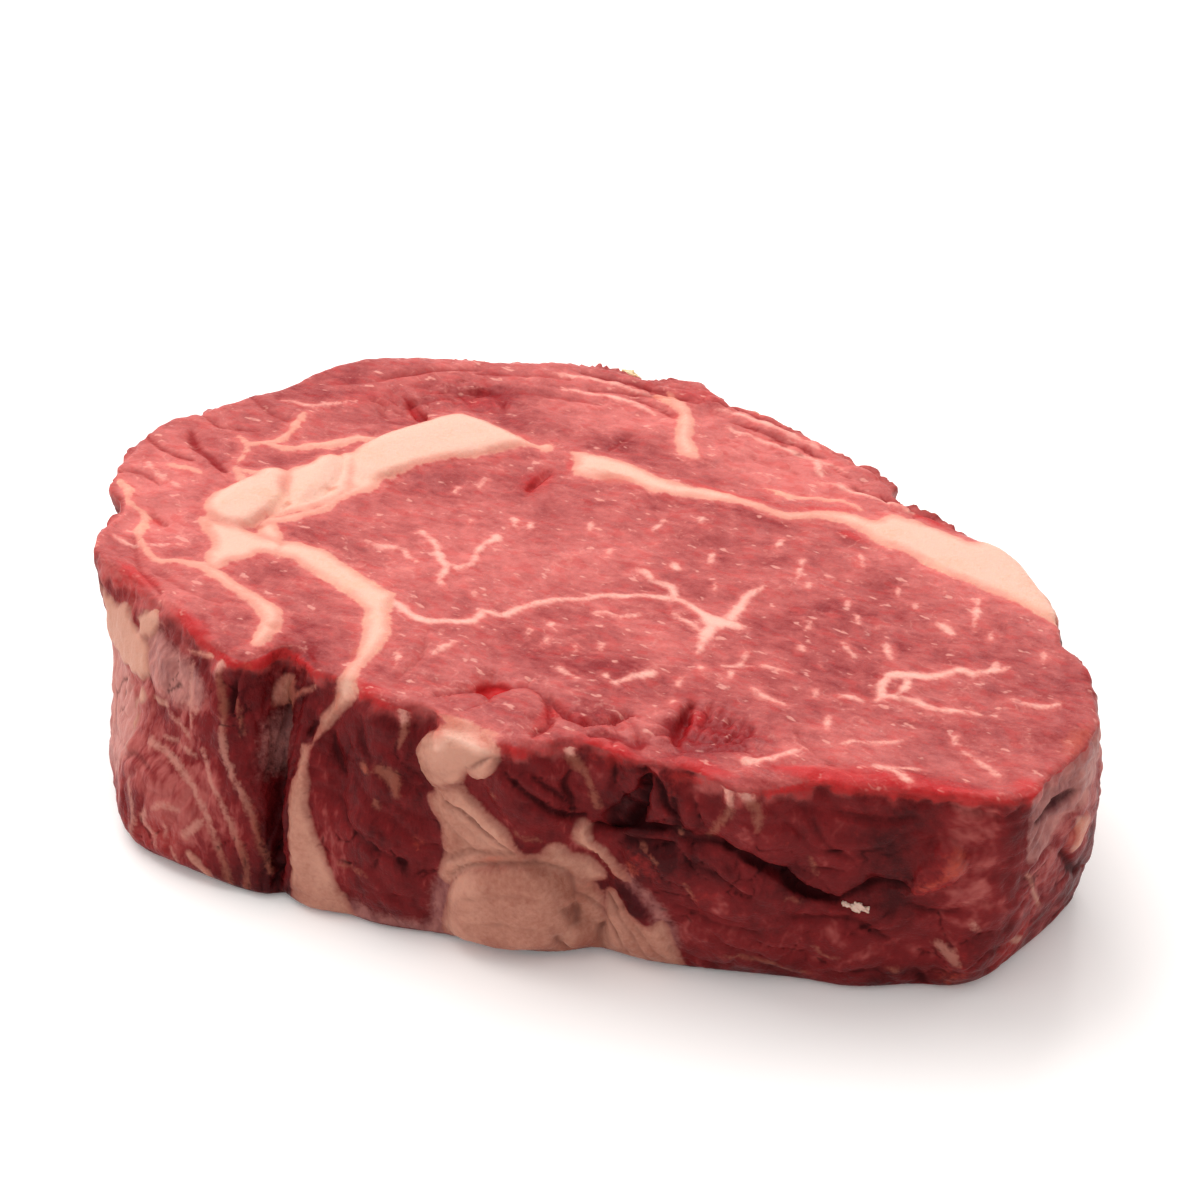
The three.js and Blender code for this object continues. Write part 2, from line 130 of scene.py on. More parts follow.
FACE_VEINS = [
    # pale streaks along the back rim
    [(-34, 46.6, 0.5), (-24, 48.6, 1), (-14, 48.4, 0.6)], [(-4, 49.4, 0.5), (6, 48.4, 1), (16, 46, 0.5)],
    [(0, 44.6, 0.5), (10, 43.6, 0.9), (22, 41.6, 0.5)],
    [(-30, 42.6, 0.5), (-22, 44.4, 0.9), (-13, 43.6, 0.5)],
    [(20, 36.6, 0.5), (28, 36.8, 0.9), (37, 35, 0.5)], [(-60, 22, 0.5), (-64, 18.6, 0.8), (-70, 17.8, 0.5)],
    [(-78, -9.6, 0.5), (-74, -12, 0.7), (-69, -13.6, 0.5)],
    [(-60, -26.6, 0.4), (-66, -29.6, 0.6), (-71, -29.4, 0.4)],
    [(-23, -25.8, 1.5), (-20.1, -26.2, 1.5), (-18.2, -27.1, 1.3), (-15.3, -27.6, 1.6), (-13, -26.4, 1.2),
     (-11, -25.7, 1.2), (-8.7, -24.3, 1.8), (-8.7, -21.4, 1.1), (-5.8, -21, 1), (-4.9, -19, 1.6),
     (-3.9, -17.1, 1.3), (-2, -14.8, 1.1), (-0.6, -13.3, 1.1), (2.3, -11.4, 0.9), (5.1, -8.8, 0.9),
     (8, -7.6, 1), (9.9, -6.2, 0.9), (12.8, -5.2, 1.1), (15.6, -4.5, 1.3), (18, -5, 1.2), (20.4, -6.2, 1.5),
     (22.8, -7.6, 2.3), (24.6, -8.1, 2.2)],
    [(22, -7.4, 2), (25, -7, 2.6), (27.6, -7, 1.2)],
    [(25.1, -5.2, 2), (24.9, -1.4, 1.5), (24.7, 1, 1.3), (25.9, 3.8, 1)],
    [(23.7, -9, 2.3), (23.7, -11, 2.2), (24.2, -13.3, 1.5), (24.9, -15.7, 0.8)],
    [(15.1, -4.4, 1.2), (13.7, -2.4, 1.4), (12.3, -1.7, 1), (9.9, -1.9, 0.9), (8.5, -0.5, 1),
     (6.6, 0.2, 0.9)],
    [(16.6, -8.1, 0.6), (18.5, -9, 0.7), (22.3, -10.5, 0.7)],
    [(6.1, -13.3, 0.6), (7.5, -12.4, 0.8), (9.9, -12.6, 0.8), (12.3, -11, 0.6)],
    [(-28.2, -6.7, 0.8), (-25.8, -8.1, 1.1), (-23.9, -9.5, 1.2), (-21.5, -11.9, 1.2), (-19.6, -13.8, 1.3),
     (-19.1, -16.2, 1.2), (-18.2, -17.9, 0.8)],
    [(-16.8, -2.9, 2), (-17.4, -5, 1.1), (-17.7, -7.6, 1), (-16.8, -10.5, 1), (-18.2, -12.9, 1.1)],
    [(-34.3, -13.1, 0.7), (-32, -13.3, 1), (-29.6, -12.4, 0.9), (-27.7, -12.4, 0.8), (-26.8, -13.3, 0.8),
     (-24.4, -14.3, 0.6)],
    [(-8.2, -31.4, 0.7), (-8.8, -33, 0.9), (-9.6, -34.8, 0.6)],
    [(8.5, -29, 0.7), (10.5, -30, 0.9), (12.3, -30.5, 0.7)],
    [(21.3, -24, 1.6), (19.4, -25.4, 1.2), (18.5, -27.1, 1), (17.5, -29, 0.7)],
    [(36.2, -20.7, 0.8), (39, -21.6, 1), (41.4, -21.9, 0.7)],
    # right vein with its loop
    [(52.4, -8.1, 1.6), (54.3, -6.7, 1.9), (57.1, -5.7, 1.4), (59, -4.3, 1.3), (61, -2.1, 1.4),
     (63.3, -1.7, 1.3), (65, 0, 1.1), (64.8, 2.4, 0.8)],
    [(65, 0.2, 0.9), (66.9, 1.7, 0.8)],
    [(52.2, -8.2, 1.4), (52.3, -11, 1.4), (53.1, -13, 1.3), (52.9, -14.2, 0.8)],
    [(55, -7, 1.2), (55.4, -9.6, 1), (55, -12, 1), (53.4, -13, 1)],
    [(55.2, -12.4, 0.8), (58.1, -11.7, 0.9), (61.4, -12.1, 0.9), (64.3, -11.2, 0.9), (67.6, -10.7, 0.6)],
    [(42.9, -3.8, 0.6), (44.3, -5, 0.8), (45.7, -6, 0.6)],
    [(48.6, -1, 0.9), (49.6, -2.4, 1.2), (50.5, -3.8, 0.7)],
    [(47.9, -15.7, 0.8), (49.5, -15.2, 1), (51, -15.2, 0.6)],
    [(48.6, -21.4, 0.6), (49, -23, 0.8), (49.5, -24.3, 0.5)],
    [(52.9, -26.7, 0.5), (54.8, -24.8, 0.6), (58.1, -23.3, 0.6), (60, -21.4, 0.5)],
    [(59, -29, 0.7), (61.9, -28.1, 0.8), (64.8, -26.2, 0.6)],
    [(61, -28.6, 0.8), (63, -29.5, 1.1), (64.8, -30, 0.8)],
    [(42.9, -37.1, 1.6), (45.2, -34.8, 1), (47.1, -32.4, 0.8), (48.8, -29.8, 0.6)],
    [(68.6, -19.5, 0.5), (72.4, -21, 0.6), (75.2, -22.4, 0.5)],
    [(70.5, -5.2, 0.5), (74.8, -4.8, 0.7), (77.1, -2.9, 0.6)],
    [(53.3, 7.9, 1), (54.6, 7.5, 1.3), (56, 6.7, 0.8)],
    [(56, 16.7, 0.6), (57.2, 13.4, 0.8), (58.1, 10, 0.6)],
    [(17.2, 42.8, 1), (17.9, 41, 1.2), (19.6, 38.6, 0.8)],
]

# Short flecks of fat in the eye: x, y of both ends and width
FACE_FLECKS = [
    (-17.4, 3.6, -16.4, 2.2, 1.6), (-14.5, 3.6, -13.8, 2.6, 1.4), (10.9, 3.9, 11.7, 2.7, 1.7),
    (3.5, 14.3, 3.7, 10.5, 0.9), (14.7, 9.5, 15.7, 6.2, 1.2), (8.8, 17.2, 9.3, 16.1, 1.3),
    (-27.3, 11.9, -27, 9, 0.8), (-30, 7.4, -29.7, 6, 0.9), (-23.2, 0.1, -22.8, -1.1, 0.9),
    (-12.3, -17.5, -12, -18.7, 0.9), (22.6, 18, 23, 15.2, 0.9), (28, 13.8, 29.4, 8.6, 0.9),
    (31.4, 8.7, 31.9, 7.4, 1), (11, -20.6, 11.6, -21.8, 1.3), (31.2, -12.9, 31.6, -15.7, 0.9),
    (29.4, -17.1, 33.3, -15.2, 0.7), (26.8, -19, 27.3, -20.2, 0.9), (31.4, -18.2, 31.9, -19.5, 1.3),
    (34.7, -14.3, 39, -14.3, 0.6), (25.5, -23.1, 25.8, -24.4, 0.9), (26.9, -28.1, 27.2, -29.2, 0.8),
    (1.8, -19, 2.2, -20.1, 0.9), (-0.2, -22.4, 0.2, -23.5, 0.9), (3, -22.9, 3.5, -23.9, 0.8),
    (7.8, -22.8, 8.3, -23.9, 0.8), (15.4, -27.2, 15.9, -28.2, 0.9), (37.7, -7.4, 38.2, -8.5, 1),
    (44.1, -16.2, 44.6, -17.3, 0.9), (38.8, 6.8, 39.3, 5.6, 0.9), (35.2, 19.5, 36.9, 16.8, 0.8),
    (48.2, 10.9, 48.7, 9.7, 0.9), (66.5, -17.2, 67, -18.1, 1), (-14, -37.4, -13, -40, 0.5),
    (44, 14, 44.8, 12.2, 0.8), (61, 9.6, 61.8, 7.8, 0.7), (70, 8, 70.6, 6.4, 0.8),
    (42, 3.6, 42.6, 2.2, 0.7), (-6, 8, -5.5, 6.6, 0.7), (0, 3, 0.5, 1.6, 0.7), (19, 1.6, 19.5, 0.2, 0.7),
    (36, -1, 36.6, -2.4, 0.8),
]

# Creases of the cut face: depth, then stops x, y, width
FACE_CREASES = [
    (0.6, [(-52.6, 28.9, 0.3), (-49, 26.6, 1.3), (-45.3, 23.6, 0.4)]),
    (0.7, [(-77.1, 1.7, 0.8), (-75.2, -0.7, 1.2), (-72.9, -2.6, 1.3), (-70, -3.6, 1.2), (-67.1, -5.5, 1.1),
           (-65.2, -6.4, 0.8)]),
    (0.5, [(-69.5, -21, 0.8), (-67.6, -21.8, 1.2), (-65.7, -22.6, 0.8)]),
    (0.4, [(-45.5, 33.7, 0.3), (-42.1, 36.4, 1.2), (-38.9, 36.4, 1), (-35.4, 33, 0.3)]),
    (0.4, [(-45.3, 41, 0.8), (-38.9, 43.7, 1), (-30.5, 46.3, 0.8)]),
    (0.4, [(-36.3, 38.9, 0.8), (-28.4, 40.5, 1), (-22, 41.6, 0.8)]),
    (0.4, [(-19, 46.3, 0.8), (-12.6, 45.3, 0.9), (-9.6, 44, 0.7)]),
    (0.4, [(-12.6, 36.3, 0.7), (-13.7, 32.6, 0.9), (-14.2, 29.5, 0.7)]),
    (0.35, [(-19.4, 20, 0.4), (-20.1, 15, 0.9), (-19.1, 10.5, 0.4)]),
    (1.0, [(0.4, -37.8, 1.2), (1.9, -37.2, 3.2), (3.6, -36.4, 1.2)]),
    (0.7, [(0.4, -38.3, 0.7), (-1.2, -39.8, 0.5), (-2.6, -41.8, 0.3), (-4.4, -43.4, 0.1)]),
    (0.4, [(-1, -39.2, 0.4), (-3.6, -40.2, 0.3), (-7.6, -40.4, 0.1)]),
    (0.4, [(1.4, -37, 0.5), (1, -35.4, 0.3), (0.2, -33, 0.1)]),
    (0.6, [(3, -37, 0.6), (4.8, -35.6, 0.4), (6, -34.4, 0.3), (5.8, -32.6, 0.1)]),
    (0.5, [(2.4, -38.8, 0.6), (3.1, -41, 0.4), (2.6, -43.2, 0.3), (0.8, -44.8, 0.1)]),
    (0.7, [(5, -35.8, 0.2), (7, -35.1, 0.3), (10.1, -36.4, 0.5), (12.3, -38.7, 0.6), (13.8, -41.7, 0.7),
           (13, -45.2, 0.5)]),
    (0.9, [(10.4, -36, 0.2), (11.8, -37, 0.3), (13.7, -38.1, 0.6), (16.1, -39.3, 0.7), (18.5, -39, 0.7),
           (20.9, -37.6, 0.5), (23.2, -34.6, 0.2)]),
    (1.0, [(29.6, -27.6, 0.4), (30.4, -31.9, 0.9), (31.8, -37.1, 0.5)]),
    (0.5, [(33.4, -30.2, 0.5), (33, -32.4, 0.9), (32.2, -34.6, 0.6)]),
    (0.4, [(36.4, -26.4, 0.5), (36, -30, 0.8), (36.8, -33.6, 0.5)]),
    (0.5, [(20.4, -41.6, 0.6), (23, -40.2, 0.9), (26.6, -40.8, 0.6)]),
    (0.4, [(24, -36.6, 0.5), (26.2, -38, 0.8), (28, -40.6, 0.5)]),
    (0.4, [(-13.4, -30.6, 0.4), (-10.8, -36, 0.6), (-11.6, -42, 0.5)]),
    (0.35, [(46, -27, 0.4), (52, -31, 0.6), (58, -32.4, 0.4)]),
    (0.3, [(-56, 36, 0.5), (-60, 30, 0.7), (-66, 26, 0.5)]),
    (0.3, [(0, 41, 0.5), (8, 38.6, 0.8), (16, 37.6, 0.5)]),
    (0.3, [(6, 46, 0.5), (14, 43, 0.7), (24, 40.6, 0.5)]),
]

# Folds between the lobes of fat, along the back rim and in the left rim
FACE_CREASES += [
    (0.3, [(-57.2, -1, 0.3), (-55.2, -2.4, 0.5), (-53.4, -6, 0.5), (-51.4, -8.8, 0.3)]),
    (0.3, [(-52.4, 7.4, 0.3), (-50.2, 5.4, 0.5), (-48, 0.4, 0.5), (-47.4, -5, 0.5), (-48.8, -8.6, 0.3)]),
    (0.3, [(-52.6, -17.6, 0.4), (-51.4, -13, 0.5), (-50.6, -9.6, 0.3)]),
    (0.6, [(-58, 33, 0.4), (-52, 38.6, 0.7), (-46, 42, 0.4)]),
    (0.7, [(-30, 49.6, 0.4), (-20, 50.6, 0.8), (-10, 50, 0.4)]),
    (0.6, [(-26, 45, 0.4), (-18, 48, 0.7), (-8, 49.4, 0.4)]),
    (0.6, [(-6, 51.4, 0.4), (2, 50.8, 0.7), (10, 48.6, 0.4)]),
    (0.6, [(0, 47, 0.4), (8, 46, 0.8), (18, 44, 0.4)]),
    (0.5, [(16, 47.6, 0.4), (26, 44, 0.7), (34, 41, 0.4)]),
    (0.5, [(26, 38, 0.4), (34, 36.6, 0.7), (44, 36, 0.4)]),
    (0.6, [(-84, -2, 0.4), (-78, -5, 0.7), (-72, -5.6, 0.4)]),
    (0.5, [(-80, 8, 0.4), (-74, 6, 0.7), (-68, 7.6, 0.4)]),
    (0.5, [(-76, 17, 0.4), (-70, 13.6, 0.7), (-65, 12.6, 0.4)]),
    (0.5, [(-82, -14, 0.4), (-77, -12.6, 0.7), (-72.6, -14, 0.4)]),
    (0.5, [(-68, -28, 0.4), (-62, -35, 0.7), (-55, -39.6, 0.4)]),
    (0.4, [(-60, -34.6, 0.4), (-52, -37.4, 0.6), (-45, -38, 0.4)]),
]

# Fan of fine creases over the torn patch at the front
FACE_CREASES += [
    (0.7, [(32.4 + 1.8 * i, -26.6 - 0.4 * i, 0.2), (33.2 + 1.7 * i, -30.4 - 0.4 * (i % 3), 0.4),
            (33.4 + 1.3 * i, -34.6 - 0.5 * (i % 2), 0.2)]) for i in range(5)
]

# Bright red places of the cut face and orange places, as ovals x, y, half length, half width, turn
FACE_RED = [
    (1.9, -37.2, 2.7, 2, 15), (1.9, -37.2, 2.3, 1.7, 15, 1.4), (-18.7, -41, 0.9, 1.2, 0),
    (-49, 26.4, 4.6, 1, -37), (-17.3, 22, 2, 0.7, -70), (-40, 33, 5, 3, 20, 0.6),
    (-9, 52, 5.5, 2.6, 10, 0.6), (9, 26.7, 10, 0.7, 0), (25, 29.4, 6, 1, 25), (40, 34.6, 5, 1.2, -12),
    (66, -30, 15, 2.4, 14), (79.5, -23, 2.2, 2, 0), (-20, 15.4, 3, 4.6, 0, 0.8), (-68, -22.2, 2, 0.9, -25),
    (-46.6, -44, 6, 1.6, -20), (-61, -37, 6, 1.4, -18), (32, 24, 3, 1, -10), (-58, 25, 5, 3, 40, 0.5),
    (24, -42.6, 6, 1.4, 0), (38, -41, 6, 1.4, 0), (-14, -46, 4, 1.2, 0), (52, -35, 7, 1.4, 12),
    (31.6, -31, 1.4, 5, -10, 0.8), (12.6, -41, 1.2, 4, 0, 0.7), (16, -38.8, 6, 0.9, 0, 0.6),
    (-76, -26, 5, 3, -60, 0.5),
]
FACE_ORANGE = [
    (-46.9, -2.6, 1.2, 0.9, 40), (-51, -10.2, 0.9, 1.4, 0), (-51.4, -17.4, 1, 0.9, 0),
    (-58.6, -20.8, 1.6, 0.8, -30), (-45.8, -20.2, 1.1, 0.7, 0), (-48.4, -4, 0.8, 3, 10, 0.3),
    (-10, 21.6, 4.6, 1.6, 0), (82, -10, 1.8, 5, 0), (-34.6, -39.6, 1.3, 1.6, 0), (-20.2, -40, 0.7, 2, 0),
    (1.4, -47.2, 2.4, 1, 0), (7, -47.5, 1.8, 0.7, 0),
]

# Darker (below zero) and lighter parts of the lean: x, y, half length, half width, turn, amount
# Partly painted light: the lighter ovals on the cap are painted highlights, and the darker ones in hollows
# and beside creases painted shade
FACE_TONES_SHADE_AND_LIGHT = [
    (-72, 8, 12, 16, 0, 0.1), (-58, 28, 14, 9, 40, -0.15), (-42, 35, 8, 4, 20, -0.6),
    (-12, 51, 10, 4, 5, -0.4), (-36, 45, 22, 6, 12, 0.3), (8, 40, 24, 8, -12, 0.6),
    (44, 27, 20, 8, -24, 0.65), (-20, 15, 4, 5, 0, -0.5), (16, 22.3, 9, 1.3, -3, -0.5),
    (32, 23, 4, 1.6, -10, -0.7), (-70, -8, 10, 12, 0, 0.5), (-66, -26, 10, 8, 0, 0.35),
    (-36, -30, 11, 4, -16, -0.1), (-14, -4, 24, 16, 0, 0.35), (50, -4, 20, 15, 0, -0.2),
    (-70, -3, 7, 4, -40, -0.3), (14, -26, 16, 5, 0, -0.6), (2, -41, 10, 4, 0, -0.25),
    (34.6, -33, 6, 5, 0, -1.6), (-13, 33, 3, 5, 0, -0.4), (62, -24, 14, 5, 14, 0.3),
    (-28, -42, 4, 3, 0, -0.7), (36, 40, 10, 4, -35, -0.2), (24, 14, 20, 5, -10, -0.1),
    (20, -16, 12, 4, -10, 0.2), (-72, -20, 10, 8, -20, 0.5), (26.6, -33, 2.6, 5, -10, 0.6),
    (-8, -34, 6, 4, 0, 0.2), (-52, -40, 7, 4, 0, 0.6), (-20, 38, 11, 5, 0, 0.6), (18, -35, 6, 4, 0, -0.6),
    (66, -29, 8, 3, 14, -0.5),
]

# Shapes on the front are drawn as they are seen from the front, x and z in mm.

FRONT_FAT = [
    # skin over the left end
    [(-68, 32), (-63, 31.8), (-59, 31), (-55.5, 29), (-53.5, 27), (-57, 25.4), (-62, 24), (-68, 24)],
    # strip of fat beside the slit
    [(-19.9, 40), (-19.9, 33.8), (-21.6, 31), (-22.2, 27.1), (-23.5, 26.7), (-24.1, 25.4), (-23.9, 22.1),
     (-24.7, 20), (-24.9, 17.5), (-24.7, 14.2), (-24.1, 10.8), (-23.7, 6.7), (-23, -1), (-13, -1),
     (-14.1, 3.8), (-15.3, 5.4), (-16.2, 7.9), (-17.4, 10.4), (-18.7, 12.9), (-19.9, 15.4), (-21.2, 18.8),
     (-21.2, 21.3), (-22, 24.2), (-21.8, 26.7), (-20.8, 28.3), (-19.5, 30), (-18.3, 31.7), (-16.6, 33.8),
     (-15.4, 37), (-15.4, 40)],
    # loose flap
    [(-4.3, 31.5), (-3.6, 33.2), (-2.6, 34.6), (-1, 36), (-0.6, 38.4), (3, 38.8), (6, 38.6), (9.2, 38),
     (9.8, 36), (9.3, 33.4), (7.7, 31.6), (6.1, 31.9), (5.1, 31.8), (4.2, 30.4), (3.6, 28.8), (1.6, 27.8),
     (-0.1, 27.2), (-2.2, 27.3), (-3.6, 28.8)],
    # neck below the flap, widening to the right
    [(-1.6, 27.4), (-1.1, 25.9), (-2.2, 25), (-1.7, 23.4), (-0.1, 21.5), (0.6, 19.4), (1, 16.7), (0.7, 14),
     (0.3, 12), (2.4, 11), (5, 14), (12, 17), (18, 16), (21, 14), (23.6, 14.8), (24.6, 16.4), (21.6, 18.5),
     (19.5, 19.3), (18.4, 21.2), (17.1, 21.7), (16.3, 20.4), (15.4, 19.5), (13.4, 20), (12.6, 21.6),
     (11.8, 22.8), (9.6, 24.2), (7.1, 25.9), (5, 27.2), (3.6, 28.8)],
    # strand that climbs from it
    [(19.8, 24.1), (20.6, 25.2), (21.8, 25), (22.2, 22.4), (23.6, 21), (25.6, 19.5), (27.6, 18),
     (28.8, 16.6), (27.4, 16.2), (25, 17.6), (22.4, 19.4), (20.2, 20.8), (19.6, 22.4)],
    # big round body
    [(2.2, -1), (2.2, 10), (3, 12.9), (5.1, 15), (8, 16.3), (11.8, 17.9), (15.1, 18.5), (18, 17.5),
     (19.9, 16.3), (23, 14.1), (24, 11.5), (24.6, 6), (25, -1)],
    # its right wing
    [(23.8, -1), (24, 8), (24.2, 12.5), (25.4, 14), (27, 12.4), (29.6, 10.6), (31.4, 9.4), (33.4, 10.4),
     (34.4, 8.6), (35, 5.5), (35.4, -1)],
    # knob over the slit
    [(-30.4, 33.6), (-27.4, 33.6), (-27, 30), (-28.2, 28.7), (-30.2, 29.4)],
    # foot of the left block
    [(-36.6, -1), (-36.4, 2.2), (-38.4, 4), (-40.3, 5.6), (-41, 4.6), (-39, 2.4), (-38.4, -1)],
]

FRONT_SEAMS = [
    [(-57, 32.6, 0.6), (-52.8, 35, 1.0), (-48, 34.4, 0.9), (-45, 34.6, 0.9), (-40.5, 35.8, 0.8)],
    [(-27.2, 31.5, 1), (-25.6, 33, 0.9), (-23.5, 34.6, 0.8)],
    [(-56.6, 15, 0.6), (-55, 21.5, 1.2), (-52.8, 23.8, 1.3), (-48.2, 25.2, 1)],
]

FRONT_VEINS = [
    # pale lines that run down the left block
    [(-50.5, 18.5, 1.2), (-47.4, 18.5, 1.1), (-44.3, 18, 1.2), (-41.2, 16.5, 1), (-39.3, 14.2, 1),
     (-37.4, 11.9, 0.9), (-36.2, 9.2, 1), (-35.5, 6.9, 0.9), (-34.3, 4.2, 1), (-33.5, 0.4, 0.9)],
    [(-39.7, 21.9, 0.7), (-38.5, 20, 0.9), (-37, 17.3, 1), (-35.1, 15, 0.9), (-33.5, 12.3, 1),
     (-32, 9.2, 1.3), (-31.2, 6.5, 1.2), (-30.7, 3.5, 1.1), (-31.2, -0.5, 1.1)],
    [(-37.8, 36.8, 1.1), (-38.2, 33.8, 1.2), (-37, 31.5, 1), (-36.2, 28.8, 1.1), (-36.2, 26.2, 1.1),
     (-35.5, 23.1, 1.3), (-33.5, 20, 1), (-31.6, 16.9, 1), (-30.1, 13.8, 0.9), (-29.3, 10.4, 0.8),
     (-28.2, 7.3, 0.7), (-27.4, 4.6, 0.6)],
    [(-34.3, 31.5, 0.5), (-33.4, 28.8, 0.7), (-32.8, 26.5, 0.5)],
    [(-44, 33.6, 0.6), (-43.4, 29, 0.8), (-42, 24.6, 0.5)],
    [(-53, 12, 0.7), (-51.6, 7, 0.9), (-52.4, 2.4, 0.6)],
    [(-47, 10.4, 0.7), (-45.1, 11.7, 0.9), (-42.8, 11.5, 0.7)], [(-45.1, 8.5, 0.7), (-45.1, 6.2, 0.7)],
    [(-41.2, 8, 1.2), (-38.9, 10.6, 1.4)],
    [(-48.9, 9.2, 0.9), (-49.7, 6.9, 1.2), (-47.4, 5.4, 0.9), (-47, 3.5, 0.7)],
    [(-43.9, 4.6, 0.6), (-42.8, 2.7, 0.6)], [(-47.4, 24.2, 0.7), (-45, 23.5, 0.8), (-42.8, 22.7, 0.7)],
    [(-45, 27.3, 0.5), (-41.6, 27.3, 0.6)], [(-48.2, 20.2, 0.5), (-44.6, 20.8, 0.5), (-41.2, 20.2, 0.5)],
    [(-8.7, 37.7, 0.9), (-7, 35.4, 1.2), (-7, 32.9, 1), (-7.4, 31.3, 0.7)],
    [(-12.6, 26.8, 1), (-11.6, 26, 0.8)], [(-9.8, 22.2, 0.8), (-9.2, 21.6, 0.8)],
    [(-15.3, 10.2, 0.4), (-12.8, 10.5, 0.5), (-10.3, 10.2, 0.4)],
    [(18, 38, 1.4), (18.9, 35.3, 1.6), (21.1, 33.1, 1.4), (22, 31.1, 1.2), (22.9, 28, 1.3)],
    [(12.4, 23.4, 0.5), (14, 22.6, 0.7), (15.8, 22, 0.4)], [(8.9, 28.9, 0.6), (9.3, 28.5, 0.6)],
    [(42.3, 37.7, 1.6), (43.6, 34.5, 1.4), (41.4, 30, 1), (39.5, 27.3, 0.7)],
    [(44.5, 37.7, 1.2), (46.8, 35, 1.2), (47.3, 31.4, 0.7)], [(35.2, 27.2, 0.6), (35.8, 26.6, 0.6)],
    [(44.4, 26.8, 0.6), (45.2, 26.4, 0.6)],
    [(41.8, 5.2, 0.5), (45, 5.9, 0.6), (48.2, 4.5, 0.6), (50.9, 3, 0.5), (53.2, 3, 0.5)],
    [(54.1, 9.1, 0.4), (55.9, 7.3, 0.5), (57.7, 7.3, 0.4)], [(64.6, 5, 0.9), (65.4, 4.5, 0.9)],
    [(53.6, 25.9, 0.4), (54.5, 22.3, 0.5)], [(36.8, 18.6, 0.4), (38.2, 16.4, 0.4)],
    [(50.9, 18.2, 0.4), (52.7, 17.3, 0.4)], [(-10.4, 27.1, 1.2), (-7.6, 26.4, 2.2), (-6.6, 24, 1)],
    [(75.7, 15, 1.2), (76.8, 12.8, 1.8), (77.2, 10.8, 1.2)],
    [(70.6, 10.2, 1.2), (72.2, 9, 2.2), (73.4, 7.4, 1.2)], [(30.1, 23.4, 0.6), (30.8, 23, 0.6)],
    [(32, 22, 0.6), (32.6, 21.6, 0.6)],
]

# Grey and lilac skin on the front
FRONT_SKIN = [
    [(-23, -1), (-14.1, 3.8), (-10.3, 3.3), (-4.9, 2.9), (-1.2, 3.3), (-0.8, 5.8), (-0.3, 10), (2.3, 13),
     (2.4, 0.4), (2.4, -1)],
    [(-30.2, 28.6), (-27, 28.4), (-26.8, 20), (-29.4, 19), (-30.6, 23)],
    [(27.2, 18.4), (29, 17.4), (31.4, 15), (33.6, 12.2), (34.9, 9), (35.2, 5.2), (33.8, 7.6), (32.4, 10.8),
     (30.4, 13.8), (28, 15.8)],
    [(4.8, 33), (6.6, 34.3), (8.1, 35.8), (9.4, 34.6), (8.6, 33.4), (6.8, 32.6)],
    [(-74, 24), (-62, 24), (-57, 21), (-55.6, 16), (-58, 10), (-63, 5), (-74, 7)],
    [(-58, 34), (-50, 34.2), (-42, 33), (-41, 28), (-48, 26), (-54, 27.4)],
]

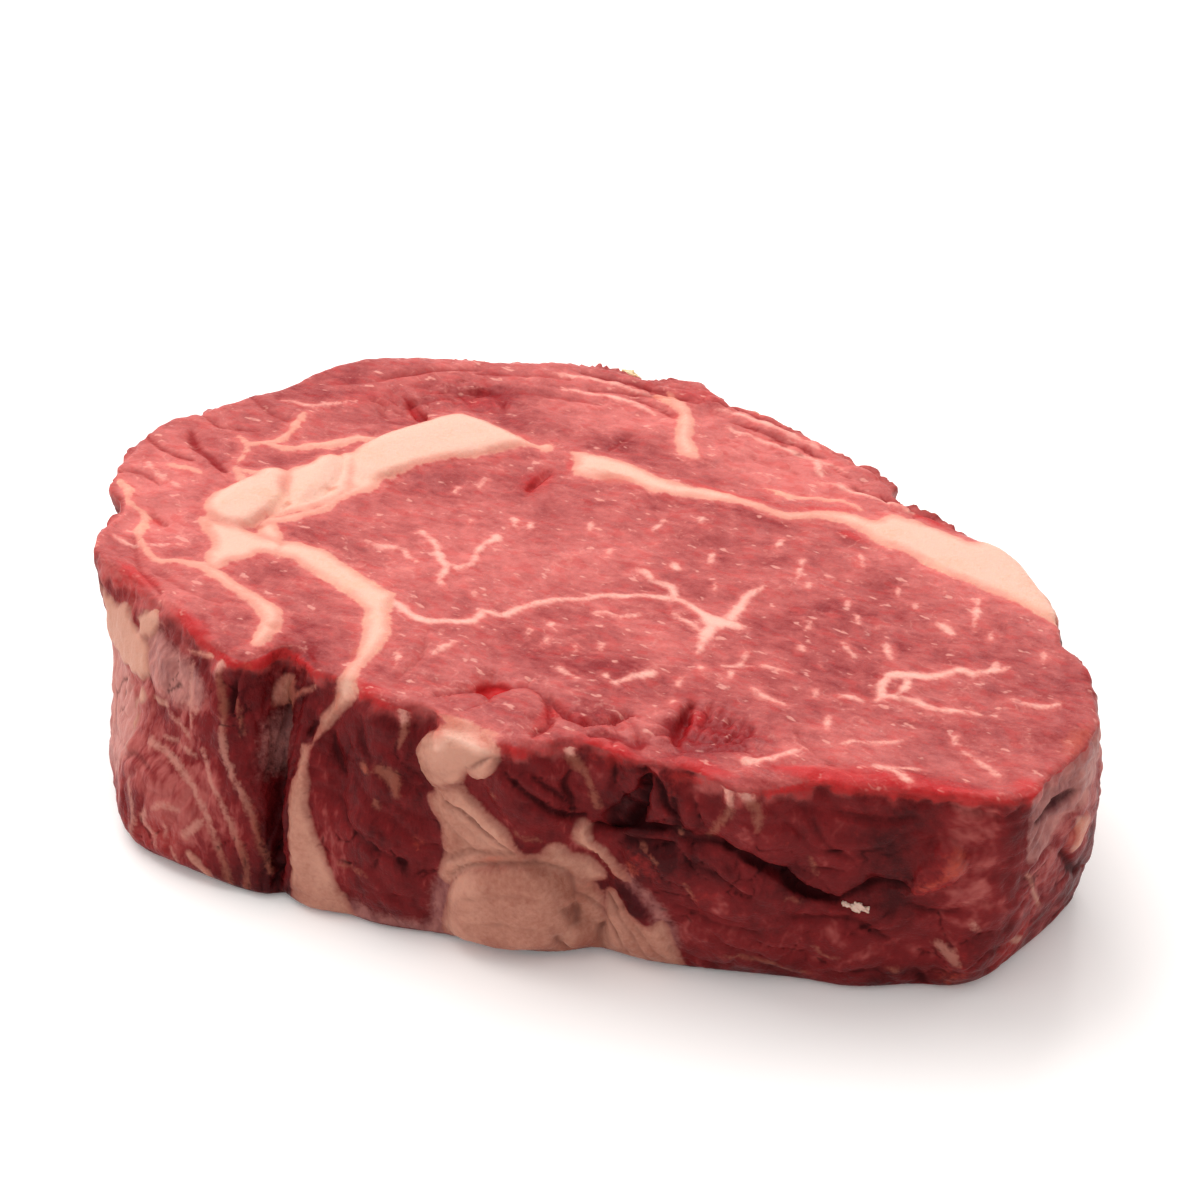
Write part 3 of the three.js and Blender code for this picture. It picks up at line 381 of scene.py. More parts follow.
FRONT_CREASES = [
    (0.6, [(34.5, 32.7, 0.7), (35.5, 28.2, 0.9)]),
    (0.6, [(37.6, 26, 0.6), (40, 26.8, 1.2), (43, 26.8, 0.6)]),
    (1.0, [(40, 26.6, 0.4), (44, 26.4, 0.6), (48.2, 24.1, 0.9), (50.2, 22.3, 1), (51.8, 20, 0.9),
           (54.1, 18.4, 0.8), (57.3, 17.3, 0.6)]),
    (0.8, [(57.3, 17.3, 0.5), (60, 20, 0.7), (63.4, 21.6, 0.8), (67, 20.8, 0.5)]),
    (0.5, [(2.4, 13, 0.3), (5.1, 15.4, 0.4), (9.6, 17.2, 0.4), (15.1, 18.5, 0.4), (19.2, 16.6, 0.4),
           (20.4, 12.6, 0.3)]),
    (0.6, [(1.4, 25.2, 0.3), (4.1, 24.3, 0.5), (7.9, 21.6, 0.5), (11.2, 20.4, 0.3)]),
    (0.5, [(1, 15.5, 0.3), (4.9, 18, 0.4), (8, 18.2, 0.4), (12.3, 19.5, 0.3)]),
    (0.5, [(4.6, 32.4, 0.2), (6.6, 33.6, 0.5), (8.4, 35.2, 0.3)]),
    (0.3, [(-3.4, 32, 0.2), (0, 34.6, 0.4), (3, 35.8, 0.2)]),
    (0.3, [(-2, 29.4, 0.2), (1.6, 30.6, 0.4), (4.4, 32.4, 0.2)]),
    (0.3, [(-0.6, 24, 0.2), (2.4, 21, 0.4), (6, 18.6, 0.2)]),
    (0.3, [(0.6, 26.4, 0.2), (4, 22.4, 0.4), (9, 19.4, 0.2)]),
    (0.5, [(51.8, 13.9, 0.6), (56.4, 14.1, 0.8), (60, 14.5, 0.9), (62.3, 12.3, 0.8), (64.1, 10.9, 0.6)]),
    (0.6, [(-19.1, 29.2, 0.5), (-18.3, 26.3, 0.8), (-16.6, 24.2, 0.5)]),
    (0.6, [(-22, 30, 0.5), (-23, 28, 0.7)]),
    (0.4, [(1.3, 15, 0.4), (3.8, 16.7, 0.6), (6.8, 18.3, 0.5), (12, 20, 0.4)]),
    (0.3, [(5.5, 10.8, 0.4), (9.7, 12.5, 0.5), (13.8, 14, 0.5), (17.2, 13.3, 0.4)]),
    (0.5, [(19.7, 10.8, 0.6), (20.5, 7.5, 0.7)]),
    (0.5, [(18.6, 5.6, 0.5), (18.8, 3, 0.6), (20.6, 1.4, 0.5)]), (0.4, [(23.4, 6, 0.5), (23.4, -1, 0.8)]),
    (0.5, [(20.4, 12.6, 0.2), (23, 10.4, 0.5), (26, 6.6, 0.5), (27.6, 2, 0.2)]),
    (0.4, [(24.6, 12.4, 0.2), (27.6, 9, 0.5), (30, 4.4, 0.5), (31, 0, 0.2)]),
    (0.4, [(27.4, 11.6, 0.2), (30.4, 7.6, 0.4), (33, 3, 0.2)]),
    (0.3, [(6, 6.4, 0.2), (12, 8, 0.4), (17, 7.6, 0.2)]),
    (0.8, [(10.8, 32.9, 0.2), (14.9, 29.8, 0.5), (19, 26, 0.7), (21, 25.8, 0.5)]),
    (0.7, [(14.6, 32.9, 0.2), (17.2, 30.7, 0.5), (19.3, 27.9, 0.3)]),
    (0.7, [(18.8, 33.4, 0.3), (18.2, 31.5, 0.6), (19.2, 29.3, 0.6), (19.7, 26.4, 0.4)]),
    (0.9, [(29.9, 36.4, 0.4), (32.4, 34.8, 0.7), (33.6, 31.2, 0.7), (35.4, 29.9, 0.4)]),
    (0.9, [(28.2, 26.6, 0.8), (31.5, 26.8, 0.7), (35.4, 27.5, 0.4)]),
    (0.6, [(24.6, 36.8, 0.4), (25.4, 34.6, 0.7), (24.8, 32, 0.3)]),
    (0.4, [(57, 33.5, 0.5), (62, 33, 0.8), (67, 33.6, 0.5)]),
    (0.5, [(37, 22.4, 0.5), (42, 21, 0.8), (46.4, 18.4, 0.5)]),
    (0.4, [(35.4, 13.8, 0.4), (40.6, 12, 0.7), (46.8, 11.2, 0.5)]),
    (0.4, [(36.8, 33.8, 0.4), (38.8, 30.4, 0.7), (38, 28, 0.5)]),
    (0.4, [(53.6, 32, 0.4), (56, 28, 0.7), (59.4, 25.6, 0.5)]), (0.5, [(67.8, 4, 0.8), (69.4, -1, 1.2)]),
    (0.5, [(66.8, 17.8, 0.5), (70, 16.4, 0.8), (73.4, 17, 0.5)]),
    (0.4, [(-16.8, 20.4, 0.4), (-12, 16, 0.7), (-4.6, 13.8, 0.5)]),
    (0.3, [(-17, 14, 0.4), (-11, 8.4, 0.6), (-3.4, 7, 0.4)]),
    (0.4, [(-14, 34, 0.4), (-13.2, 30.2, 0.7), (-11.6, 28, 0.5)]),
    (0.5, [(-34.5, 36, 0.5), (-35.4, 32, 0.8), (-34.9, 29, 0.5)]),
    (0.4, [(-55.4, 14, 0.5), (-52.6, 15.6, 0.7), (-49, 15.4, 0.5)]),
    (0.4, [(26.8, 22.6, 0.5), (30, 24.4, 0.8), (34.6, 24.6, 0.5)]),
]

FRONT_RED = [
    (66, 37.2, 17, 0.9, 0), (-62, 34, 4, 3.6, 0, 0.6), (-30, 37, 14, 1.2, 0), (22, 36.8, 20, 1.2, 0, 0.4),
    (11.6, 36.2, 2, 1, -14), (25, 36.4, 0.9, 1.6, 0, 0.9), (36, 36.2, 2.4, 0.9, 0, 0.8),
    (-52, 3, 8, 4, 10, 0.7), (-45, 7, 4, 3.4, 0, 0.7), (-12, 37.4, 4, 1.2, 0),
    (69, 21.6, 3.4, 1.6, 30, 0.7), (-42, 37.2, 9, 1.2, 0), (40, 17, 3, 1, 20, 0.6),
    (72, 25, 2.6, 4.6, -20, 0.6), (74, 6, 2.6, 5, 0, 0.5), (30.5, 20.4, 1.6, 3, 50, 0.7),
    (34, 33.4, 0.8, 3, -10, 0.5),
]
FRONT_ORANGE = [
    (-2.8, 17.4, 1.2, 1.4, 0, 0.5), (28.4, 18.6, 1.4, 1.4, 0, 0.8), (72.6, 3.4, 2.4, 2.4, 20, 0.6),
    (73, 27, 1.5, 2.6, -10, 0.9), (70, 23.4, 3, 0.8, 45, 0.7), (9, 17.6, 4, 0.6, 22, 0.8),
    (-33.9, 36.8, 1.6, 1.2, 0, 0.7), (-19, 33.6, 1.2, 2, 20, 0.7), (-12, 26.3, 1, 0.8, 0, 0.6),
    (21, 13.4, 2, 1.2, 30, 0.5), (0.4, 36.6, 2.2, 1.3, 30, 0.9), (6.4, 37, 1.8, 0.8, 0, 0.7),
    (24, 18.8, 3.8, 0.7, -40, 0.8),
]
# Partly painted light: the darkest ovals are painted shade in and beside the hollows, creases and the slit,
# and the lighter left end is partly painted light
FRONT_TONES_SHADE_AND_LIGHT = [
    (-48, 30, 9, 4.5, 0, 0.4), (28, 27, 4, 5, 20, -1), (62, 19, 5, 4, 0, -0.5), (50, 22, 7, 2.4, -40, -0.5),
    (-11, 31, 8, 5, 0, 0.2), (-10, 16, 8, 9, 0, 0.25), (36, 30, 5, 5, 0, -0.2), (-35, 33, 3, 5, 0, -0.6),
    (-45, 12, 8, 6, 0, 0.1), (52, 31, 14, 4, 0, 0.1), (48, 12, 16, 6, 0, 0.1), (66, 30, 9, 4, 0, -0.2),
    (-27.6, 14, 1.6, 14, 0, -1), (21.8, 3, 1.4, 3.4, 0, -0.8), (24, 14, 2.4, 1.6, 30, -0.8),
    (14, 28, 7, 4, 40, -0.2), (-32, 20, 4, 12, 0, 0.1), (60, 8, 14, 5, 0, 0.25), (-62, 20, 9, 16, 0, 1.5),
    (-42, 18, 12, 14, 0, 0.85), (30, 34, 50, 4, 0, 0.25), (36, 22, 8, 2, 0, -0.7), (74, 24, 6, 14, 0, 0.8),
    (72, 14, 8, 14, 0, 0.25), (-46, 5, 8, 5, 0, 0.6), (7, 24, 5, 4, -40, 0.5), (4, 33, 6, 4, 0, 1.2),
    (9, 8, 7, 7, 0, -0.25), (-19.5, 14, 4, 16, 8, 0.65), (29, 8, 4, 6, 0, -0.2),
    (28.6, 13.2, 3.6, 1.3, -42, -1.6), (34.6, 31, 1.4, 4, 10, -0.6),
]

# Shapes on the right end are drawn in y and z.
RIGHT_FAT = [[(-13, 26.8), (-11, 26), (-8.2, 24.2), (-7.6, 20.8), (-9, 20.2), (-10.8, 18.8), (-12.4, 20.6),
              (-12, 23)]]
# Silverskin over the upper right end, drawn pale also where it shines: partly real skin, partly painted sheen
RIGHT_SKIN_AND_SHEEN = [[(-24.6, 35), (-24, 27), (-20, 24), (-14, 28), (-6, 30), (4, 31), (9, 29), (9, 38),
               (-24, 37.4)]]
RIGHT_SEAMS = [[(-24.6, 32.3, 0.7), (-24.6, 24.6, 0.8), (-21.9, 20.8, 0.8), (-18.5, 15, 0.7),
                (-15.4, 10.8, 0.5)],
               [(-21.5, 8.5, 1), (-19.6, 7, 1.4), (-17.7, 5.8, 0.8)]]
RIGHT_CREASES = [(0.6, [(-22.7, 31.6, 0.8), (-18, 32.4, 1.6), (-13.5, 31.6, 0.8)]),
                 (0.6, [(-14.2, 20.8, 0.8), (-10, 15.4, 1.2), (-5.4, 10.8, 0.8)])]
RIGHT_ORANGE = [(-10.4, 22.8, 3.4, 3.6, 40, 1)]
RIGHT_RED = [(-18, 36.6, 8, 1, 0), (-20, 6, 5, 5, 0)]
# Painted shade along the two creases of the right end, and a painted sheen on its upper part
RIGHT_TONES_SHADE_AND_SHEEN = [
    (-18, 31.8, 5, 1.6, 0, -1), (-10, 16, 2, 7, 40, -0.8), (-4, 28, 10, 8, 0, 1.1),
    (-16, 18, 11, 12, 0, 0.9),
]

# Deep hollows on the front: depth and outline
FRONT_HOLLOWS = [
    (2.2, [(29.8, 35.4), (31.2, 35.6), (31.2, 33), (30.9, 30.6), (30, 28), (28.6, 26.4), (26.4, 24.8),
           (24.4, 23.9), (22.8, 23.4), (22, 24.2), (23.8, 25.2), (25.8, 26.8), (27, 28.6), (28.4, 31),
           (29.2, 33.4)]),
    (0.7, [(24, 24), (30, 25), (37, 24.8), (42, 26.4), (37, 24), (30, 23), (25, 23)]),
    (1.3, [(-28.6, 28), (-27.4, 28), (-26.2, 12), (-25.8, -1), (-26.6, -1), (-27.2, 10), (-28.4, 19)]),
    (0.6, [(24, 12), (26.6, 15.4), (29.4, 15.2), (28.4, 11), (25, 9.6)]),
    (0.6, [(-37.4, 33.6), (-35, 34), (-34.4, 30.4), (-36.2, 29)]),
    (0.9, [(70.6, 36.8), (75, 36.2), (79.4, 34.8), (78, 34), (74, 34.4), (71, 35)]),
]

# Ledges with a crisp edge on the front
FRONT_LEDGES = [
    (0.75, [(-4.3, 31.5), (-3.6, 33.2), (-2.6, 34.6), (-1, 36), (-0.4, 37.4), (3, 37.8), (9, 37.4),
            (9.7, 36), (9.3, 33.4), (7.7, 31.6), (6.1, 31.9), (5.1, 31.8), (4.2, 30.4), (3.6, 28.8),
            (1.6, 27.8), (-0.1, 27.2), (-2.2, 27.3), (-3.6, 28.8)]),
    (0.5, [(5.2, 32.6), (6.6, 33.7), (8.4, 35.2), (9.4, 34.8), (9.3, 33), (7.7, 31.7), (6.1, 32)]),
    (0.5, [(3.4, 28.6), (7.1, 25.7), (12, 22.5), (13, 20.6), (11.2, 20.7), (7.9, 21.9), (4.1, 24.6),
           (1.4, 25.6), (0.4, 27)]),
    (0.8, [(19.9, 24), (20.6, 25), (21.7, 24.8), (22, 22.4), (23.5, 21.1), (25.5, 19.3), (27.4, 17.8),
           (28.4, 16.6), (27, 16.4), (24.8, 18), (22.4, 19.8), (20.2, 21.2)]),
    (0.4, [(-19.4, 34), (-22, 27), (-23.9, 22), (-24.7, 16), (-23.4, 4), (-15, 5), (-19, 14), (-21.6, 22),
           (-19.6, 30), (-16.8, 34)]),
    (0.5, [(-30.4, 33.6), (-27.4, 33.6), (-27, 30), (-28.2, 28.7), (-30.2, 29.4)]),
    (0.9, [(70, 30), (73, 30), (74.2, 27), (73.4, 24.4), (71, 22), (67.6, 20.6), (66, 20), (67.4, 25)]),
    (0.35, [(-50.5, 0.6), (-47, 6), (-44, 5), (-42, 0.6)]),
]

# Puffed bodies between their creases on the front and on the cut face: height and outline
FRONT_BODIES = [
    (0.9, [(-58, 2), (-59, 10), (-56, 17), (-50, 18.6), (-43, 17.6), (-37.6, 12), (-35, 5), (-34.4, 1),
           (-45, 0.4)]),
    (0.6, [(-22.6, 26), (-18, 27.6), (-8, 22), (-2.4, 24), (-3, 28), (-5.6, 36), (-18, 35.6), (-20.6, 30)]),
    (0.7, [(-20.6, 19), (-10, 20.6), (-0.6, 20), (-1, 11), (-2, 4), (-14, 4), (-18.6, 12.6)]),
    (0.9, [(2.8, 1), (2.8, 10), (5, 14.4), (12, 17.3), (17.6, 16.6), (19.4, 13), (19, 7), (18, 3),
           (10, 0.6)]),
    (0.8, [(18.6, 4.6), (20.7, 7.2), (22.8, 5), (21.6, 2.4), (19.4, 2.4)]),
    (0.8, [(10, 34), (17.6, 35.6), (21, 30), (20, 26), (14, 22.6), (9.6, 26.6), (7.6, 30)]),
    (0.7, [(33, 35), (43, 34.6), (43.6, 29), (38, 27.6), (33.4, 29)]),
    (0.7, [(44, 34), (56, 33), (58, 27), (50.6, 23.6), (45.6, 27.4)]),
    (0.8, [(66, 19.6), (67.6, 25), (70.4, 29.8), (73.2, 30), (74.2, 27), (73.4, 24), (70.4, 21.4)]),
    (0.6, [(30, 22), (34, 25), (43, 25), (49.6, 20.6), (52, 15.6), (42, 13), (34, 15.6)]),
    (0.6, [(37, 11.6), (47, 11), (57, 13.4), (61.6, 11), (62, 3), (48, 2), (37, 3)]),
    (0.7, [(70.6, 12), (77.4, 10), (77.6, 3), (72, 2), (70, 7)]),
]
FACE_BODIES = [
    (0.8, [(23.4, -32), (27, -28), (29.4, -29), (30.6, -34), (30.8, -38), (26, -39), (22, -36.6)]),
    (0.5, [(3, -37), (8, -36.2), (11.4, -38), (12.4, -42), (11, -46), (4, -46), (-0.6, -43), (0, -39.6)]),
    (0.45, [(-14, -30), (-4, -30), (0.6, -34), (-0.4, -37.4), (-4.6, -40.6), (-12, -40), (-16, -36)]),
    (0.4, [(12.6, -37.4), (17, -39.4), (23.4, -35), (24, -30), (16, -28), (9, -31), (8.4, -34.8)]),
    (0.45, [(14, -42), (19, -40), (25.4, -38), (28.6, -41.6), (26, -44), (18, -43.6)]),
    (0.6, [(-44.7, 23.7), (-40, 28), (-30, 26.3), (-24.2, 24.4), (-28.9, 21), (-32.1, 16.3), (-41.7, 2.6),
           (-48.4, 3.5), (-49.5, 12.6)]),
    (0.8, [(-53.1, 6.4), (-49.8, 4), (-47.6, -1.7), (-49, -7.4), (-51, -8.1), (-54.7, -1)]),
    (0.8, [(-57.1, -1.4), (-60.5, -4), (-62.4, -10.2), (-61.4, -17.9), (-56.7, -20), (-52.3, -17.9),
           (-52.1, -8.6)]),
    (0.4, [(-63, -7), (-69, -2), (-75, 1), (-82, 2), (-82, -12), (-75, -17), (-68, -20), (-64, -17)]),
]

# Where the cut face is torn or folded: ovals x, y, half length, half width, turn, amount
FACE_TORN = [
    (34, -33, 9, 7, 0, 1), (22, -40, 9, 5, 10, 0.9), (-42, 35, 9, 6, 20, 0.8), (-52, 27, 8, 6, 30, 0.7),
    (-12, 51, 12, 5, 5, 0.6), (8, 42, 30, 8, -12, 0.35), (55, -33, 22, 4, 14, 0.5),
    (-70, 0, 10, 10, 0, 0.3), (-28, -44, 6, 4, 0, 0.8), (36, 36, 12, 5, -30, 0.5), (-20, 15, 5, 6, 0, 0.4),
    (-45, -43, 10, 4, -20, 0.5),
]

# Where the cut face shines most
FACE_WET = [
    (35, -33, 6, 6, 0, 1), (8, -33, 7, 4, -10, 0.6), (3, -43, 7, 3, 0, 0.4), (-3, -36, 6, 3, 0, 0.4),
    (22, -40, 8, 3, 0, 0.4), (-40, 32, 8, 4, 20, 0.4), (-54, -28, 8, 4, -20, 0.2),
]

# Patches on the back, x and z, where skin and fat cling to the side
BACK_FAT = [
    [(-54, 39), (-50, 34), (-42, 35.5), (-36, 39)], [(-30, 39), (-24, 34), (-19, 36), (-16, 39)],
    [(-6, 39), (2, 34), (12, 35), (18, 39)], [(24, 4), (34, 0), (44, 4), (38, 8), (28, 8)],
    [(-56, -1), (-50, 3), (-40, 3), (-32, -1)],
]
BACK_SKIN = [
    [(-44, 10), (-24, 6), (-6, 12), (6, 20), (2, 30), (-16, 29), (-34, 24)],
    [(12, 18), (26, 14), (44, 18), (46, 28), (28, 31)],
    [(-78, 6), (-70, 2), (-62, 10), (-64, 26), (-74, 28)],
]
BACK_CREASES = [
    (0.45, [(-72, 31, 0.2), (-60, 25, 0.8), (-47, 21, 0.2)]),
    (0.4, [(-41, 33, 0.2), (-32, 23, 0.8), (-29, 11, 0.2)]),
    (0.5, [(-15, 15, 0.2), (0, 10, 0.9), (14, 12, 0.5), (25, 8, 0.2)]),
    (0.4, [(5, 34, 0.2), (12, 27, 0.7), (10, 20, 0.2)]),
    (0.4, [(25, 34, 0.2), (34, 26, 0.7), (36, 17, 0.2)]),
    (0.35, [(-57, 13, 0.2), (-46, 7, 0.7), (-34, 6, 0.2)]),
    (0.3, [(-20, 33, 0.2), (-12, 29, 0.6), (-6, 22, 0.2)]),
    (0.35, [(-66, 16, 0.2), (-62, 8, 0.7), (-64, 2, 0.2)]),
]

# Tilts, and heights and places in mm, between which one part of the surface passes into the next
TOP_TILT = (0.42, 0.72)
TOP_HEIGHT = (30, 34)
UNDER_TILT = (0.5, 0.8)
UNDER_HEIGHT = (2, 4)
RIM_BAND = (31, 37)              # height of the upper edge of the side
MIDDLE_START = (8, 12)           # x where the frayed middle of the front rim begins
MIDDLE_END = (42, 50)            # and where it ends
SHOWN = 0.001                    # smallest share of a view that is measured

# How the fat of the cut face runs on through the steak, in mm
WANDER_HEIGHT = (20, 37)
WANDER_REACH = 2.4
FOOT_SHIFT = 9                   # how far the tissue of the front leans in at the foot
FOOT_SHIFT_PLACE = (10, 48)
SIDE_SHIFT = 3.2                 # the side shows the tissue of the face this far in

# Unevenness: size of the lumps in mm, strength, seed and where the pattern starts
WANDER = [(9, 1, 1, 40), (9, 1, 2, 80)]
WARP = [(5, 1, 31), (5, 1, 31, 30), (5, 1, 31, 60)]
WIGGLE = [(3.6, 2.4, 18), (3.6, 2.4, 19)]
SHREDS = [(5.5, 3.4, 61), (2.1, 1.8, 62), (1, 0.8, 63)]
FRAY = [(1.5, 0.5, 64), (0.8, 0.3, 65)]
RAGGED_FAT = [(1.7, 0.5, 5)]
SIDE_LUMPS = [(6, 0.5, 11), (2.4, 0.35, 12), (1.2, 0.2, 13)]
BACK_SWELL = [((13, 13, 8), 0.7, 17)]
RIM_LUMPS = [(3.4, 0.5, 14), (1.3, 0.35, 15)]
LONG_WAVES = [((9, 4, 9), 0.34, 21)]
FACE_WAVES = [(2.6, 0.16, 22), (1.3, 0.08, 23)]
CRACK_PLACES = [(7, 1, 16)]
PATCHES = [(11, 0.24, 51, 5), (4.2, 0.18, 52), (1.9, 0.14, 53)]
LONG_PATCHES = [((9, 2.6, 9), 0.24, 55)]
RIM_COLOUR_WAVES = [(2.6, 1.6, 54), (1.1, 0.9, 56)]
MIDDLE_COLOUR_WAVES = [(2.6, 1.2, 54), (1.1, 0.5, 56)]
LONG_WAY = (0.9, 0.45)           # direction of the long waves of the cut face

# Edges of drawn shapes: mm inside the outline where they start and where they are full
HOLLOW_EDGE = (-0.5, 1.2)
LEDGE_EDGE = (-0.3, 0.6)
GROOVE_EDGE = (-0.7, 0.35)
FAT_EDGE = (-0.6, 1.6)
VEIN_EDGE = (-0.5, 0.3)
OVAL_FALL = 1.4                  # how sharply a soft oval ends
FRONT_BODY_REACH = 3.5
FACE_BODY_REACH = 3.0
FLECK_TAPER = (0.8, 0.5)         # width of a fleck at its two ends
END_SHREDS = (49, 55)            # distance to the left where the fat of the front turns ragged
END_SHRED_SHARE = 0.6
BACK_FAT_INSET = 0.5
BACK_FAT_SOFTNESS = 0.5
BACK_SKIN_SOFTNESS = 0.3
BACK_SKIN_SHREDS = 0.4
BACK_SKIN_INSET = 1.1
RIGHT_SKIN_SHREDS = 0.7

# Bundles of the side and long folds of the cut face: sizes in mm along x, y and z
SIDE_BUNDLE = (15, 15, 5.5)
UPRIGHT_BUNDLE = (5, 6, 18)      # on the left block they stand upright
UPRIGHT_PLACE = (24, 32)
FACE_BUNDLE = (7.5, 4.6, 9)
BUNDLE_SLANT = 0.45              # they fall away from this x to both sides
BUNDLE_TURN = 58
SIDE_BUNDLE_WARP = 0.5
FACE_BUNDLE_WARP = 0.45
SIDE_BUNDLE_SEED = 41
FACE_BUNDLE_SEED = 42
SIDE_BUNDLE_EDGE = 0.4
FACE_BUNDLE_EDGE = 0.5
SIDE_CRACK_EDGE = 0.07
FACE_CRACK_EDGE = 0.1

# Relief, in mm or as shares of the heights in the settings
FOOT_CLEAR = (0.2, 3)            # the relief fades out at the foot, so that the steak rests flat
FAT_CALM = 0.75                  # how much smoother fat is than lean
FAT_CALM_DEPTH = 1.5
BACK_LUMPS = 0.6
BUNDLE_HEIGHT = 0.8
BUNDLE_LEVEL = 0.6
MIDDLE_FRAY = 0.8
FOLD_HEIGHT = 0.16
TORN_FOLD_HEIGHT = 0.6
FOLD_LEVEL = 0.7
# Painted shade: how strongly the hollows and the gaps between bundles are darkened
HOLLOW_SHADE = 0.42
SIDE_CRACK_SHADE = 0.6
FACE_CRACK_SHADE = 0.1
TORN_CRACK_SHADE = 0.6
CRACK_GATE = (-0.3, 0.5)

# Colour of the upper edge of the side
RIM_HEIGHT = 34.4
RIM_RISE = 1.2                   # it lies higher at the right end
RIM_RISE_PLACE = (44, 54)
RIM_MIDDLE_RISE = 0.9
RIM_FADE = 2.0
RIM_RED = 0.35
RIM_END_RED = 0.45
RIM_END_PLACE = (42, 52)
RIM_MIDDLE_RED = 0.25
RIM_FACE_LOOK = 0.75             # how much the upper edge looks like the cut face
FACE_PATCH_CALM = 0.25
TONE_AND_LIGHT_SHARE = 0.6
SIDE_GRAIN_HEIGHT = 2.2
SIDE_GRAIN_ROUND = 62
SIDE_GRAIN_WARP = 0.5

# Mesh of the meat
SOFTEN_SHARE = 0.5
SOFTEN_ROUNDS = 6
UNDERSIDE_HEIGHT = 0.6           # points below this height in mm may be thinned out
UNDERSIDE_WEIGHT = 10.0

# Patterns of the material: scale for each mm, detail and roughness
FINE_PATTERN = (1.3, 2.0, 0.55)
FACE_FIBRE_PATTERN = (0.75, 3.0, 0.6)
SIDE_FIBRE_PATTERN = (0.7, 2.0, 0.6)
BLOT_PATTERN = (0.62, 2.0, 0.5)
THREAD_PATTERN = (0.2, 2.0, 0.5)
PORE_PATTERN = (4.2, 1.0)
GRAIN_STRETCH = 2.0

# Finishes of the material: value where each starts, value where it is full, and its strength
PALE_SIDE = (0.3, 1.0, 0.85)
RED = (0.1, 1.2, 0.8)
HAZE = (-2.0, 0.3, 0.45)
SPECKS = (0.67, 0.78, 0.6)
BLUSH = (0.47, 0.3, 0.3)
THREAD_WIDTH = (0.03, 0.0)
THREADS = (0.42, 0.75, 0.22)
SKIN = (-0.9, 1.4, 0.7)
VEIN = (-0.45, 0.55, 0.95)
VEIN_CORE = (0.1, 1.1)
BRIGHT_SIDE_VEIN = (0.1, 0.5)
FAT = (-0.3, 0.35)
CREAM = (0.1, 2.2)
YELLOW = (0.0, 0.5, 0.7)
PALE_SIDE_FAT = (-0.5, 0.6)
SIDE_FAT_RIM = (1.3, 0.0, 0.55)
ORANGE = (0.2, 1.3, 0.55)
FRESH_CREASE = (0.7, 1.6)
CREASE = (0.1, 0.8, 0.85)

# How strongly the patterns act on each finish
FINE_WOBBLE = 0.55
BLOT_WOBBLE = 0.9
LEAN_FINE = 0.4
LEAN_FIBRE = 0.75
LEAN_LEVEL = 0.47
PALE_FIBRE = 1.2
HAZE_FIBRE = 1.6
VEIN_HAZE_INSET = 0.4
SPECK_PATCH = 0.08
BLUSH_PATCH = 0.15
THREAD_PATCH = 0.5
SKIN_FINE = 2.4
SKIN_PATCH = 2.0
SKIN_TONE = 0.6
VEIN_FIBRE = 0.6
SIDE_VEIN_LOSS = 0.25
SIDE_FAT_CALM = 0.7
YELLOW_FINE = 0.8
SIDE_FAT_FINE = 0.6
CREASE_FINE = 0.3
FAT_SOFTNESS = 0.7
FIBRE_RELIEF = 1.3
PORE_RELIEF = 0.34
ROUGH_FINE = 0.35
ROUGH_PATCH = 0.2
ROUGH_CREASE = 0.6
SIDE_DRYNESS = 0.8
WET_PATCH_FILM = 0.12
FILM_ROUGHNESS = 0.28
GLOW_RADIUS = (1.0, 0.32, 0.22)

# Scraps: place seen from the front x, z, then length and height as shares of the crumb size
CRUMBS = [(59.9, 17.2, 0.5, 0.42), (61.2, 16.7, 0.36, 0.26), (58.7, 17.3, 0.34, 0.24)]
CRUMB_DEPTH = 0.22
CRUMB_SEED = 60
EDGE_SCRAP_PLACE = (-23.5, 36.6)
EDGE_SCRAP_SIZE = (3.6 * MM, 1.4 * MM, 1.6 * MM)
EDGE_SCRAP_SEED = 70
OUTSIDE_FRONT = -80              # y from which rays are sent at the front
OUTSIDE_BACK = 90
BALL_DETAIL = 4
SCRAP_LUMPS = [(1 / 3.1, 0.45, 0, 7), (1 / 7.3, 0.25, 1)]
SCRAP_PATTERN = (900.0, 3.0)
SCRAP_SHADE = 0.72
SCRAP_ROUGHNESS = (0.2, 0.9, 0.6)
SCRAP_GLOW = 0.2

# Stage: places in metres, seen from the middle of the steak
FLOOR_DROP = 0.05 * MM
FLOOR_CELLS = 8
FLOOR_PATTERN = (60.0, 3.0)
FLOOR_SHADE = 0.985
FLOOR_ROUGHNESS = 0.9
FLOOR_GLOSS = 0.1
FLOOR_BRIGHTNESS = 0.1
WHITE = (1, 1, 1)
SKY_LEAN = (-0.38, 0.24, 0.52)   # side from which the soft light comes
SKY_SPAN = (-0.45, 0.70)
SKY_DIM = 0.35
SKY_BRIGHT = 1.5
LAMP_PLACE = (-0.48, 0.20, 0.95)
LAMP_SIZE = (0.9, 0.7)
GLINT_PLACE = (-0.10, 0.75, 0.70)
GLINT_SIZE = (0.16, 0.16)
CAMERA_PLACE = (0.19445, -0.36599, 0.30968)
CAMERA_BACK = (0.3892, -0.7320, 0.5592)
SENSOR_WIDTH = 36
NEAREST_SEEN = 0.01
FURTHEST_SEEN = 20

# Mixing of whole numbers, for noise that is the same in each run
CELL_PRIMES = (73856093, 19349663, 83492791)
SEED_PRIME = 26544357
STIR_PRIME = 1274126177
LOW_32_BITS = 0xFFFFFFFF
LOW_16_BITS = 0xFFFF
SCATTER_STEP = 97


